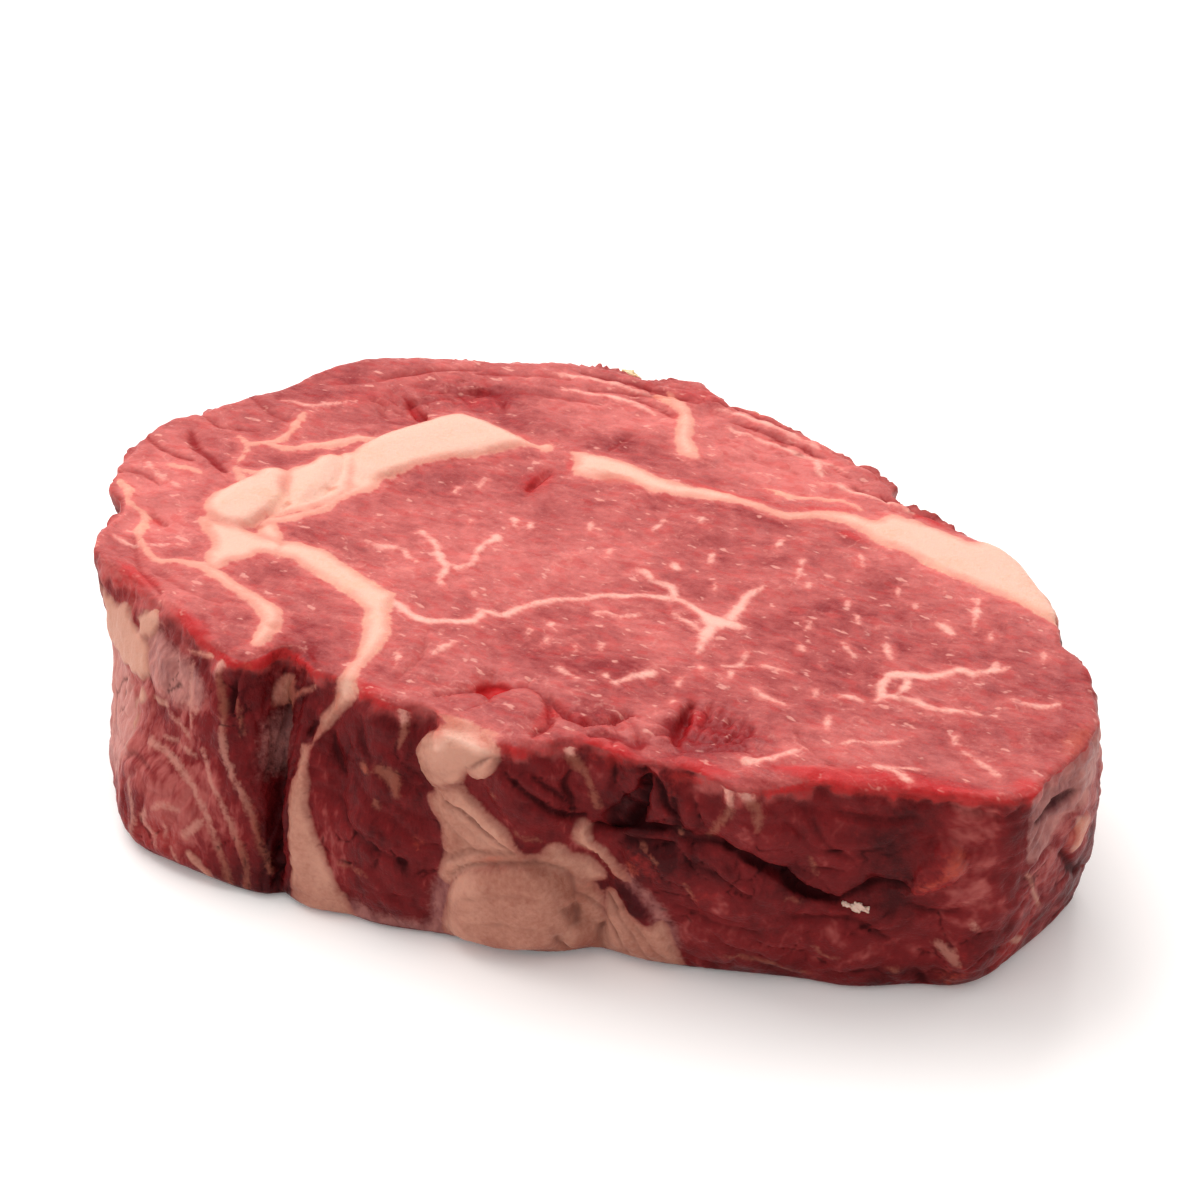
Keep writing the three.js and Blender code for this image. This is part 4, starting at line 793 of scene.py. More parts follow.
def from_display(red, green, blue):
    """A screen colour from 0 to 255 as the linear colour that a shader takes."""
    return tuple(((c / 255 + 0.055) / 1.055) ** 2.4 if c > 10 else c / 3294.6 for c in (red, green, blue))


def rise(value, low, high):
    """Smooth step from 0 at low to 1 at high."""
    share = np.clip((value - low) / (high - low), 0, 1)
    return share * share * (3 - 2 * share)


def cell_number(cells, seed):
    """One large whole number for each whole-number cell."""
    mixed = seed * SEED_PRIME
    for axis, prime in enumerate(CELL_PRIMES):
        mixed = mixed ^ cells[:, axis] * prime
    return mixed & LOW_32_BITS


def stirred(mixed, step=0):
    """The next whole number after each one given."""
    return ((mixed ^ mixed >> 13) * STIR_PRIME + step) & LOW_32_BITS


def lattice_noise(points, seed):
    """Smooth random values from -1 to 1 at points in space; the lattice step is one unit."""
    cell = np.floor(points).astype(np.int64)
    part = points - cell
    ease = part * part * (3 - 2 * part)
    total = np.zeros(len(points))
    for corner in range(8):
        step = np.array([corner & 1, corner >> 1 & 1, corner >> 2 & 1])
        mixed = stirred(cell_number(cell + step, seed))
        value = 2 * ((mixed ^ mixed >> 16) & LOW_16_BITS) / LOW_16_BITS - 1
        total += value * np.prod(np.where(step, ease, 1 - ease), axis=1)
    return total


def layered(points, layers):
    """Lattice noise of several sizes, added up."""
    total = 0
    for size, strength, seed, *start in layers:
        total = total + strength * lattice_noise(points / np.array(size) + sum(start), seed)
    return total


def sway(points, layers):
    """One direction of movement for each layer of noise."""
    return np.stack([layered(points, [layer]) for layer in layers], 1)


def scatter(cells, seed):
    """Three random numbers from 0 to 1 for each whole-number cell."""
    mixed = cell_number(cells, seed)
    values = []
    for _ in range(3):
        mixed = stirred(mixed, SCATTER_STEP)
        values.append((mixed >> 8 & LOW_16_BITS) / LOW_16_BITS)
    return np.stack(values, 1)


def bundle_gap(points, seed):
    """How far points lie from the border between two bundles: the second nearest centre less the nearest."""
    cell = np.floor(points).astype(np.int64)
    first = np.full(len(points), -FAR)
    second = np.full(len(points), -FAR)
    for step in np.ndindex(3, 3, 3):
        other = cell + np.array(step) - 1
        gap = np.linalg.norm(other + scatter(other, seed) - points, axis=1)
        second = np.minimum(second, np.maximum(first, gap))
        first = np.minimum(first, gap)
    return second - first


def smooth_line(stops, closed):
    """Centred curve through the stops, with a few samples between each two."""
    stops = np.array(stops, float)
    count = len(stops)
    if count < 3:
        return stops
    samples = []
    for i in range(count if closed else count - 1):
        near = [i + k for k in (-1, 0, 1, 2)]
        a, b, c, d = (stops[k % count if closed else min(max(k, 0), count - 1)] for k in near)
        for j in range(CURVE_SAMPLES):
            t = j / CURVE_SAMPLES
            samples.append(0.5 * (2 * b + (c - a) * t + (2 * a - 5 * b + 4 * c - d) * t * t
                                  + (3 * b - a - 3 * c + d) * t ** 3))
    if not closed:
        samples.append(stops[-1])
    return np.array(samples)


def nearby(points, line):
    """Indices of the points within reach of a line's box."""
    low = line[:, :2].min(0) - REACH
    high = line[:, :2].max(0) + REACH
    return np.nonzero(((points > low) & (points < high)).all(1))[0]


def line_gap(points, line, widths=None):
    """Distance from points to a line, or half its width less the distance where widths are given."""
    best = np.full(len(points), np.inf if widths is None else -np.inf)
    for i in range(len(line) - 1):
        start, end = line[i, :2], line[i + 1, :2]
        span = end - start
        along = np.clip((points - start) @ span / max(span @ span, 1e-9), 0, 1)
        gap = np.hypot(*(points - start - along[:, None] * span).T)
        if widths is None:
            best = np.minimum(best, gap)
        else:
            best = np.maximum(best, (widths[i] + (widths[i + 1] - widths[i]) * along) / 2 - gap)
    return best


def area_depth(points, outlines):
    """How far each point lies inside the nearest of several closed shapes, below zero outside."""
    depth = np.full(len(points), FAR)
    for outline in outlines:
        line = smooth_line(outline, True)
        line = np.vstack([line, line[:1]])
        chosen = nearby(points, line)
        here = points[chosen]
        inside = np.zeros(len(here), bool)
        for (x0, y0), (x1, y1) in zip(line[:-1], line[1:]):
            if y0 != y1:
                crosses = (here[:, 1] < y0) != (here[:, 1] < y1)
                inside ^= crosses & (here[:, 0] < x0 + (here[:, 1] - y0) * (x1 - x0) / (y1 - y0))
        gap = line_gap(here, line)
        depth[chosen] = np.maximum(depth[chosen], np.where(inside, gap, -gap))
    return depth


def stroke_depth(points, strokes):
    """How far each point lies inside lines whose stops hold a width, below zero outside."""
    depth = np.full(len(points), FAR)
    for stroke in strokes:
        line = smooth_line(stroke, False)
        chosen = nearby(points, line)
        depth[chosen] = np.maximum(depth[chosen], line_gap(points[chosen], line, line[:, 2]))
    return depth


def groove_depth(points, creases):
    """Depth in mm of soft grooves along lines."""
    depth = np.zeros(len(points))
    for deep, stroke in creases:
        line = smooth_line(stroke, False)
        chosen = nearby(points, line)
        inside = line_gap(points[chosen], line, line[:, 2])
        depth[chosen] = np.maximum(depth[chosen], deep * rise(inside, *GROOVE_EDGE))
    return depth


def oval_share(points, ovals):
    """Soft ovals with x, y, half length, half width, turn in degrees and an amount, added up."""
    total = np.zeros(len(points))
    for x, y, length, width, turn, *amount in ovals:
        angle = math.radians(turn)
        dx = points[:, 0] - x
        dy = points[:, 1] - y
        u = (dx * math.cos(angle) + dy * math.sin(angle)) / length
        v = (dy * math.cos(angle) - dx * math.sin(angle)) / width
        total += (amount[0] if amount else 1) * np.exp(-(u * u + v * v) ** OVAL_FALL)
    return total


def areas(shapes, strokes):
    """Measures closed shapes and lines together."""
    return lambda points: np.maximum(area_depth(points, shapes), stroke_depth(points, strokes))


def stepped(points, shapes, fray, edge):
    """Plateaus with a ragged edge, each with its height and outline."""
    return sum(height * rise(area_depth(points, [shape]) + fray, *edge) for height, shape in shapes)


def puffed(points, shapes, reach):
    """Rounded bodies, each with its height and outline, that are full some way inside their edge."""
    return sum(height * np.sqrt(rise(area_depth(points, [shape]), 0, reach)) for height, shape in shapes)


class Graph:
    """Short ways to add the nodes of one material or world."""

    def __init__(self, owner, output_kind="ShaderNodeOutputMaterial"):
        self.owner = owner
        owner.use_nodes = True
        self.tree = owner.node_tree
        self.tree.nodes.clear()
        self.output = self.add(output_kind)

    def feed(self, socket, value):
        """Links a socket to another one, or sets it to a plain value."""
        if isinstance(value, bpy.types.NodeSocket):
            self.tree.links.new(value, socket)
        elif socket.type == "RGBA" and len(value) == 3:
            socket.default_value = (*value, 1)
        else:
            socket.default_value = value

    def feed_all(self, node, given):
        for name, value in given.items():
            self.feed(node.inputs[name], value)

    def add(self, kind, **settings):
        node = self.tree.nodes.new(kind)
        for name, value in settings.items():
            setattr(node, name, value)
        return node

    def maths(self, operation, *values, clamp=False):
        node = self.add("ShaderNodeMath", operation=operation, use_clamp=clamp)
        for socket, value in zip(node.inputs, values):
            self.feed(socket, value)
        return node.outputs[0]

    def total(self, first, *others, clamp=False):
        """Adds up any number of values, and clamps only the last sum."""
        for i, value in enumerate(others, 1):
            first = self.maths("ADD", first, value, clamp=clamp and i == len(others))
        return first

    def times(self, value, factor):
        return self.maths("MULTIPLY", value, factor)

    def less(self, value, amount):
        """The value less an amount."""
        return self.maths("SUBTRACT", value, amount)

    def centred(self, value, amount):
        """A pattern from 0 to 1, moved to lie evenly round 0 and scaled."""
        return self.times(self.less(value, 0.5), amount)

    def rise(self, value, low, high, top=1.0):
        """Smooth step from 0 at low to top at high."""
        node = self.add("ShaderNodeMapRange", interpolation_type="SMOOTHSTEP")
        self.feed_all(node, {"Value": value, "From Min": low, "From Max": high, "To Max": top})
        return node.outputs["Result"]

    def noise(self, vector, scale, detail=2.0, roughness=0.5, flat=False):
        node = self.add("ShaderNodeTexNoise", noise_dimensions="2D" if flat else "3D")
        self.feed_all(node, {"Vector": vector, "Scale": scale, "Detail": detail, "Roughness": roughness})
        return node.outputs["Fac"]

    def blend(self, share, first, second):
        """Mixes two numbers."""
        node = self.add("ShaderNodeMix", data_type="FLOAT", clamp_factor=True)
        for index, value in ((0, share), (2, first), (3, second)):
            self.feed(node.inputs[index], value)
        return node.outputs[0]

    def mix(self, share, below, above):
        """Lays one colour over another."""
        node = self.add("ShaderNodeMix", data_type="RGBA", clamp_factor=True)
        for index, value in ((0, share), (6, tuple_of(below)), (7, tuple_of(above))):
            self.feed(node.inputs[index], value)
        return node.outputs[2]

    def attribute(self, name, output="Fac"):
        return self.add("ShaderNodeAttribute", attribute_name=name).outputs[output]

    def finish(self, shader):
        self.feed(self.output.inputs["Surface"], shader.outputs[0])
        return self.owner


def tuple_of(colour):
    """A colour of the settings as plain numbers; a socket stays as it is."""
    return colour if isinstance(colour, bpy.types.NodeSocket) else tuple(colour)


def beef_material(settings):
    """Lean, fat, seams, skin and wet gloss, steered by the distances stored on the mesh."""
    g = Graph(bpy.data.materials.new("raw_beef_finish"))
    fat = g.attribute("fat")
    vein = g.attribute("vein")
    skin = g.attribute("skin")
    crease = g.attribute("crease")
    red = g.attribute("red")
    orange = g.attribute("orange")
    tone_and_painted_light = g.attribute("tone_and_painted_light")
    side = g.attribute("side")
    cut = g.attribute("cut")
    patch = g.attribute("patch")
    side_grain = g.attribute("side_grain", "Vector")
    place = g.attribute("place", "Vector")

    # grain runs slantwise over the cut face and upright on the side
    turned = g.add("ShaderNodeMapping")
    g.feed_all(turned, {"Vector": place, "Rotation": (0, 0, math.radians(GRAIN_SLANT)),
                        "Scale": (1 / GRAIN_STRETCH, 1, 1)})
    face_grain = turned.outputs["Vector"]
    fine = g.noise(place, *FINE_PATTERN)
    face_fibre = g.noise(face_grain, *FACE_FIBRE_PATTERN, flat=True)
    side_fibre = g.noise(side_grain, *SIDE_FIBRE_PATTERN, flat=True)
    fibre = g.blend(cut, side_fibre, face_fibre)
    blots = g.noise(face_grain, *BLOT_PATTERN, flat=True)
    wobble = g.total(g.centred(fine, FINE_WOBBLE), g.centred(g.blend(cut, fine, blots), BLOT_WOBBLE))

    # lean, lighter and darker with the tone and its painted highlights and painted shade
    shade = g.total(tone_and_painted_light, patch, g.centred(fine, LEAN_FINE), g.centred(fibre, LEAN_FIBRE), LEAN_LEVEL,
                    clamp=True)
    face_lean = g.mix(shade, settings.lean_dark, settings.lean_light)
    side_lean = g.mix(shade, settings.side_dark, settings.side_light)
    # the side turns pale where the tone is high, mostly at the lighter left end, which is partly painted
    # light
    pale = g.total(tone_and_painted_light, patch, g.centred(side_fibre, PALE_FIBRE))
    side_lean = g.mix(g.rise(pale, *PALE_SIDE), side_lean, settings.side_pale_and_lit)
    colour = g.mix(side, face_lean, side_lean)
    red_tone = g.mix(side, settings.fresh_red, settings.side_red)
    colour = g.mix(g.rise(g.total(red, wobble), *RED), colour, red_tone)

    # haze of fat in the lean beside veins and seams
    nearest = g.maths("MAXIMUM", fat, g.less(vein, VEIN_HAZE_INSET))
    haze = g.rise(g.total(nearest, wobble, g.centred(fibre, HAZE_FIBRE)), *HAZE)
    colour = g.mix(g.times(haze, cut), colour, settings.haze)

    # redder blotches, and specks and threads of fat too small to draw one by one
    blush = g.times(g.rise(g.less(blots, g.times(patch, BLUSH_PATCH)), *BLUSH), cut)
    colour = g.mix(blush, colour, settings.blush)
    specks = g.rise(g.total(blots, g.times(patch, SPECK_PATCH)), *SPECKS)
    ridge = g.maths("ABSOLUTE", g.less(g.noise(face_grain, *THREAD_PATTERN, flat=True), 0.5))
    gate = g.rise(g.total(fine, g.times(patch, THREAD_PATCH)), *THREADS)
    threads = g.times(g.rise(ridge, *THREAD_WIDTH), gate)
    colour = g.mix(g.times(g.maths("MAXIMUM", specks, threads), cut), colour, settings.marbling)

    # skin over the lean, palest where the tone is high, which at the two ends is partly painted sheen
    skin_edge = g.total(skin, g.centred(fine, SKIN_FINE), g.times(patch, SKIN_PATCH))
    greyer = g.total(fibre, g.times(tone_and_painted_light, SKIN_TONE))
    skin_tone = g.mix(greyer, settings.skin_lilac, settings.skin_pale_and_sheen)
    colour = g.mix(g.rise(skin_edge, *SKIN), colour, skin_tone)

    # veins
    vein_edge = g.total(vein, wobble, g.centred(face_fibre, VEIN_FIBRE))
    vein_share = g.times(g.rise(vein_edge, *VEIN), g.less(1.0, g.times(side, SIDE_VEIN_LOSS)))
    core = g.mix(g.rise(vein_edge, *VEIN_CORE), settings.marbling, settings.vein_core)
    side_vein = g.mix(g.rise(tone_and_painted_light, *BRIGHT_SIDE_VEIN), settings.side_fat, settings.side_vein)
    colour = g.mix(vein_share, colour, g.mix(side, core, side_vein))

    # fat
    ragged = g.times(g.total(wobble, patch), g.less(1.0, g.times(side, SIDE_FAT_CALM)))
    fat_edge = g.total(fat, ragged)
    fat_share = g.rise(fat_edge, *FAT)
    cream = g.mix(g.rise(fat_edge, *CREAM), settings.fat_pink, settings.fat_cream)
    warmer = g.rise(g.total(patch, g.centred(fine, YELLOW_FINE)), *YELLOW)
    cream = g.mix(warmer, cream, settings.fat_yellow)
    bright = g.rise(g.total(patch, tone_and_painted_light, g.centred(fine, SIDE_FAT_FINE)), *PALE_SIDE_FAT)
    side_cream = g.mix(bright, settings.side_fat, settings.side_fat_pale)
    side_cream = g.mix(g.rise(fat_edge, *SIDE_FAT_RIM), side_cream, settings.side_fat_rim)
    colour = g.mix(fat_share, colour, g.mix(side, cream, side_cream))
    colour = g.mix(g.rise(g.total(orange, wobble), *ORANGE), colour, settings.orange)

    # creases: painted shade in the creases, hollows, cracks and folds of the fat, fresh red where the crease
    # is red
    crease_shade_tone = g.mix(side, settings.crease_red_shade, settings.crease_shade_dark)
    crease_shade_tone = g.mix(g.rise(red, *FRESH_CREASE), crease_shade_tone, red_tone)
    fold_shade_tone = g.mix(side, settings.fat_fold_shade, settings.side_fat_fold_shade)
    crease_shade_tone = g.mix(fat_share, crease_shade_tone, fold_shade_tone)
    crease_shade_share = g.rise(g.total(crease, g.centred(fine, CREASE_FINE)), *CREASE)
    colour = g.mix(crease_shade_share, colour, crease_shade_tone)

    # relief too fine for the mesh
    grain = g.times(g.times(fibre, g.less(1.0, g.times(fat_share, FAT_SOFTNESS))), FIBRE_RELIEF)
    pores = g.times(g.noise(place, *PORE_PATTERN), PORE_RELIEF)
    bump = g.add("ShaderNodeBump")
    g.feed_all(bump, {"Strength": settings.grain_strength, "Distance": settings.grain_height,
                      "Height": g.total(grain, fine, pores)})

    rough = g.total(settings.roughness, g.centred(fine, ROUGH_FINE), g.times(patch, ROUGH_PATCH),
                    g.times(crease, ROUGH_CREASE), clamp=True)
    film = g.times(g.less(1.0, g.times(side, SIDE_DRYNESS)), settings.wetness)
    film = g.total(film, g.times(g.attribute("wet"), WET_PATCH_FILM), clamp=True)
    shader = g.add("ShaderNodeBsdfPrincipled")
    g.feed_all(shader, {
        "Base Color": colour, "Roughness": rough, "Normal": bump.outputs[0],
        "Specular IOR Level": settings.gloss, "Subsurface Weight": settings.glow,
        "Subsurface Radius": GLOW_RADIUS, "Subsurface Scale": settings.glow_depth,
        "Coat Weight": film, "Coat Roughness": FILM_ROUGHNESS,
    })
    return g.finish(shader)


def length_setting(name, description, default):
    return bpy.props.FloatProperty(name=name, description=description, default=default,
                                   subtype="DISTANCE", unit="LENGTH", precision=5)


def share_setting(name, description, default):
    return bpy.props.FloatProperty(name=name, description=description, default=default,
                                   min=0.0, max=1.0, subtype="FACTOR")


def colour_setting(name, description, display):
    return bpy.props.FloatVectorProperty(name=name, description=description, subtype="COLOR", size=3,
                                         min=0.0, max=1.0, default=from_display(*display))


class SteakMeatSettings(bpy.types.PropertyGroup):
    """Sizes and colours of the meat."""
    mesh_step: length_setting("Mesh step", "Size of the cells of the fine mesh", 0.58 * MM)
    fat_height: length_setting("Fat height", "How far bodies of fat stand above the lean", 0.4 * MM)
    vein_height: length_setting("Vein height", "How far veins stand above the lean", 0.12 * MM)
    lump_height: length_setting("Lump height", "Unevenness of the side", 0.6 * MM)
    grain_height: length_setting("Grain height", "Height of the fine grain", 0.22 * MM)
    grain_strength: share_setting("Grain strength", "How strongly the fine grain shows", 0.7)
    roughness: share_setting("Roughness", "Roughness of the meat", 0.42)
    gloss: share_setting("Gloss", "Strength of the plain reflection", 0.08)
    wetness: share_setting("Wetness", "Strength of the wet film", 0.1)
    glow: share_setting("Glow", "Share of light that scatters inside the meat", 0.22)
    glow_depth: length_setting("Glow depth", "How far light travels inside the meat", 2.2 * MM)
    lean_light: colour_setting("Light lean", "Lighter lean of the cut face", (204, 106, 100))
    lean_dark: colour_setting("Dark lean", "Darker lean of the cut face", (134, 28, 31))
    side_light: colour_setting("Light side", "Lighter lean of the side", (124, 28, 30))
    # partly painted light: the palest lean shows mostly at the left end, drawn lighter where it catches the
    # light
    side_pale_and_lit: colour_setting("Pale side", "Palest lean of the side", (176, 92, 86))
    side_dark: colour_setting("Dark side", "Darker lean of the side", (64, 6, 9))
    fresh_red: colour_setting("Fresh red", "Brightest red of the edges and hollows", (188, 26, 30))
    side_red: colour_setting("Side red", "Brightest red of the side", (146, 36, 34))
    blush: colour_setting("Blush", "Redder blotches of the cut face", (188, 44, 42))
    haze: colour_setting("Haze", "Lean beside veins and seams", (216, 108, 100))
    # painted shade in the folds of the fat
    fat_fold_shade: colour_setting("Fat folds", "Folds in the fat of the cut face", (204, 104, 84))
    side_fat_fold_shade: colour_setting("Side fat folds", "Folds in the fat of the side", (96, 40, 36))
    vein_core: colour_setting("Vein core", "Middle of the broad veins", (230, 174, 158))
    marbling: colour_setting("Marbling", "Veins and flecks of fat in the lean", (226, 156, 142))
    fat_cream: colour_setting("Cream fat", "Thick fat of the cut face", (226, 174, 154))
    fat_pink: colour_setting("Pink fat", "Fat of the cut face near its edges", (214, 138, 120))
    fat_yellow: colour_setting("Yellow fat", "Warmer patches in the fat", (220, 162, 136))
    side_fat: colour_setting("Side fat", "Fat of the side", (144, 80, 64))
    side_vein: colour_setting("Side veins", "Pale lines where the side is lightest", (190, 128, 114))
    side_fat_pale: colour_setting("Pale side fat", "Paler patches in the fat of the side", (196, 140, 120))
    side_fat_rim: colour_setting("Side fat rim", "Edge of the fat of the side", (140, 66, 60))
    skin_lilac: colour_setting("Lilac skin", "Thin skin over the lean", (100, 40, 48))
    # partly painted sheen: the palest skin lies at the two ends, drawn lighter where it shines
    skin_pale_and_sheen: colour_setting("Grey skin", "Paler parts of the thin skin", (194, 134, 124))
    orange: colour_setting("Orange", "Orange tint in some fat", (184, 80, 58))
    # painted shade of the creases, hollows and cracks, dark red on the cut face and near black on the side
    crease_red_shade: colour_setting("Face creases", "Creases of the cut face", (132, 10, 16))
    crease_shade_dark: colour_setting("Side creases", "Deep creases and cracks of the side", (36, 2, 4))


class SteakScrapSettings(bpy.types.PropertyGroup):
    """Sizes and colours of the small scraps."""
    crumb_size: length_setting("Crumb size", "Twice the length of the largest white crumb", 4.2 * MM)
    crumb_colour: colour_setting("Crumb", "White crumbs of fat on the front", (224, 186, 168))
    scrap_colour: colour_setting("Scrap", "Yellowish scrap at the back edge", (240, 208, 160))


class SteakStageSettings(bpy.types.PropertyGroup):
    """Floor, light and camera."""
    floor_size: length_setting("Floor size", "Width of the floor", 6.0)
    floor_colour: colour_setting("Floor", "Colour of the pale floor", (250, 245, 242))
    sky: bpy.props.FloatProperty(
        name="Soft light", description="Strength of the light from all round", default=0.85, min=0.0)
    lamp_power: bpy.props.FloatProperty(
        name="Lamp power", description="Power of the large lamp", default=7.0, min=0.0, unit="POWER")
    glint_power: bpy.props.FloatProperty(
        name="Glint power", description="Power of the small lamp behind", default=1.0, min=0.0, unit="POWER")
    lens: bpy.props.FloatProperty(
        name="Lens", description="Focal length of the camera in mm on a 36 mm sensor", default=96.0, min=10.0)


def place_in_scene(name, data):
    """A new object in the scene."""
    thing = bpy.data.objects.new(name, data)
    bpy.context.scene.collection.objects.link(thing)
    return thing


def applied_mesh(thing):
    """A copy of a thing's mesh with its modifiers applied."""
    graph = bpy.context.evaluated_depsgraph_get()
    return bpy.data.meshes.new_from_object(thing.evaluated_get(graph))


def fine_mesh(settings):
    """A fine, even mesh of the CAD solid, thinned on the underside."""
    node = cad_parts.get("steak")
    if node is None:
        raise RuntimeError("the packed model has no node named steak")
    work = place_in_scene("steak_work", node.data.copy())
    remesh = work.modifiers.new("even cells", "REMESH")
    remesh.mode = "VOXEL"
    remesh.voxel_size = settings.mesh_step
    smooth = work.modifiers.new("soften facets", "SMOOTH")
    smooth.factor = SOFTEN_SHARE
    smooth.iterations = SOFTEN_ROUNDS
    even = applied_mesh(work)
    bpy.data.objects.remove(work)

    even.calc_loop_triangles()
    total = len(even.loop_triangles)
    piece = place_in_scene("steak_meat", even)
    if total > TRIANGLE_LIMIT:
        places, _ = read_mesh(even)
        low = np.nonzero(places[:, 2] < UNDERSIDE_HEIGHT)[0]
        group = piece.vertex_groups.new(name="underside")
        group.add(low.tolist(), 1.0, "REPLACE")
        thin = piece.modifiers.new("thin the underside", "DECIMATE")
        thin.ratio = TRIANGLE_LIMIT / total
        thin.vertex_group = group.name
        thin.vertex_group_factor = UNDERSIDE_WEIGHT
        thinned = applied_mesh(piece)
        piece.modifiers.clear()
        piece.vertex_groups.clear()
        piece.data = thinned
    return piece


def band(angle, low, high):
    """Share that is 1 between two directions and fades at both."""
    starts = rise(angle, low - ANGLE_BLEND, low + ANGLE_BLEND)
    ends = rise(angle, high - ANGLE_BLEND, high + ANGLE_BLEND)
    return starts * (1 - ends)


def read_mesh(mesh):
    """Places in mm and directions of a mesh's points."""
    count = len(mesh.vertices)
    places = np.zeros(count * 3)
    mesh.vertices.foreach_get("co", places)
    normals = np.zeros(count * 3)
    mesh.vertex_normals.foreach_get("vector", normals)
    return places.reshape(-1, 3) / MM, normals.reshape(-1, 3)


def store(mesh, name, values):
    """Keeps one number or one direction for each point of the mesh."""
    single = values.ndim == 1
    layer = mesh.attributes.new(name, "FLOAT" if single else "FLOAT_VECTOR", "POINT")
    layer.data.foreach_set("value" if single else "vector", values.astype(np.float32).ravel())


class Surface:
    """The points of the mesh, and how much each belongs to the cut face, the underside and the sides."""

    def __init__(self, mesh):
        self.p, self.n = read_mesh(mesh)
        x, y, z = self.p.T
        self.angle = np.degrees(np.arctan2(y - HEART[1], x - HEART[0]))
        self.top = rise(self.n[:, 2], *TOP_TILT) * rise(z, *TOP_HEIGHT)
        self.under = rise(-self.n[:, 2], *UNDER_TILT) * (1 - rise(z, *UNDER_HEIGHT))
        self.wall = (1 - self.top) * (1 - self.under)
        self.front = self.wall * band(self.angle, *FRONT_ANGLES)
        self.right = self.wall * band(self.angle, *RIGHT_ANGLES)
        self.back = np.clip(self.wall - self.front - self.right, 0, 1)
        self.plan = self.top + self.under
        self.near_rim = self.wall * rise(z, *RIM_BAND)
        self.middle = rise(x, *MIDDLE_START) * (1 - rise(x, *MIDDLE_END))
        self.warp = sway(self.p, WARP)
        along, across = LONG_WAY
        self.long_way = np.stack([x * along + y * across, y * along - x * across, z], 1)

        # place in the cut face of the tissue that each point shows
        wander = WANDER_REACH * (1 - rise(z, *WANDER_HEIGHT))
        self.flat = self.p[:, :2] + sway(self.p, WANDER) * wander[:, None]
        self.flat[:, 1] += FOOT_SHIFT * (1 - z / THICKNESS) * rise(-y, *FOOT_SHIFT_PLACE)
        inward = np.array(HEART) - self.p[:, :2]
        inward /= np.linalg.norm(inward, axis=1)[:, None]
        self.flat += inward * (self.wall * SIDE_SHIFT)[:, None]

        self.seen = self.plan + self.back > SHOWN
        self.on_front = self.front > SHOWN
        self.on_right = self.right > SHOWN
        from_front = self.p[:, [0, 2]]
        from_right = self.p[:, [1, 2]]
        self.views = ((self.seen, self.plan, self.flat), (self.on_front, self.front, from_front),
                      (self.on_right, self.right, from_right), (self.seen, self.back, from_front))

    def gather(self, empty, *makers):
        """Joins what is measured on the cut face, the front, the right end and the back."""
        value = np.zeros(len(self.p))
        shares = np.zeros(len(self.p))
        for (chosen, share, points), make in zip(self.views, makers):
            if make is not None:
                made = np.full(len(self.p), float(empty))
                made[chosen] = make(points[chosen])
                value += made * share
                shares += share
        return value + empty * (1 - shares)

    def ovals(self, *tables):
        """Joins the soft ovals of the cut face, the front and the right end."""
        return self.gather(0, *(lambda points, table=table: oval_share(points, table) for table in tables))

    def spread(self, chosen, values):
        """Values of some points, with 0 at all the others."""
        everywhere = np.zeros(len(self.p))
        everywhere[chosen] = values
        return everywhere


def drawn_features(meat):
    """How deep every point of a surface lies in each drawn feature."""
    shreds = layered(meat.p, SHREDS)
    front_shreds = END_SHRED_SHARE * shreds[meat.on_front] * rise(-meat.p[meat.on_front, 0], *END_SHREDS)
    front_fat = areas(FRONT_FAT, FRONT_SEAMS)
    through_fat = area_depth(meat.flat[meat.seen], FACE_FAT) - BACK_FAT_INSET
    back_shreds = shreds[meat.seen]
    right_shreds = RIGHT_SKIN_SHREDS * shreds[meat.on_right]
    wiggle = sway(meat.p, WIGGLE)[meat.seen]
    start, end = FLECK_TAPER
    flecks = [[(x0, y0, width * start), (x1, y1, width * end)] for x0, y0, x1, y1, width in FACE_FLECKS]

    def back_fat(points):
        return np.maximum(through_fat, BACK_FAT_SOFTNESS * (area_depth(points, BACK_FAT) + back_shreds))

    def back_skin(points):
        depth = area_depth(points, BACK_SKIN)
        return BACK_SKIN_SOFTNESS * depth + BACK_SKIN_SHREDS * back_shreds - BACK_SKIN_INSET

    fat = meat.gather(FAR, areas(FACE_FAT, FACE_SEAMS), lambda points: front_fat(points) + front_shreds,
                      areas(RIGHT_FAT, RIGHT_SEAMS), back_fat)
    vein = meat.gather(FAR, lambda points: stroke_depth(points, FACE_VEINS + flecks),
                       lambda points: stroke_depth(points, FRONT_VEINS))
    skin = meat.gather(FAR, None, lambda points: area_depth(points, FRONT_SKIN),
                       lambda points: area_depth(points, RIGHT_SKIN_AND_SHEEN) + right_shreds,
                       back_skin)
    crease = meat.gather(0, lambda points: groove_depth(points, FACE_CREASES),
                         lambda points: groove_depth(points, FRONT_CREASES),
                         lambda points: groove_depth(points, RIGHT_CREASES),
                         lambda points: groove_depth(points + wiggle, BACK_CREASES))
    return fat, vein, skin, crease


def bodies_and_hollows(meat):
    """Heights of the puffed bodies and ledges, and depths of the hollows."""
    here = meat.p[meat.on_front]
    drawn = here[:, [0, 2]]
    fray = layered(here, FRAY)
    puff = puffed(drawn, FRONT_BODIES, FRONT_BODY_REACH) + stepped(drawn, FRONT_LEDGES, fray, LEDGE_EDGE)
    puff = meat.front * meat.spread(meat.on_front, puff)
    puff += meat.top * meat.spread(meat.seen, puffed(meat.flat[meat.seen], FACE_BODIES, FACE_BODY_REACH))
    hollow = meat.front * meat.spread(meat.on_front, stepped(drawn, FRONT_HOLLOWS, fray, HOLLOW_EDGE))
    return puff, hollow


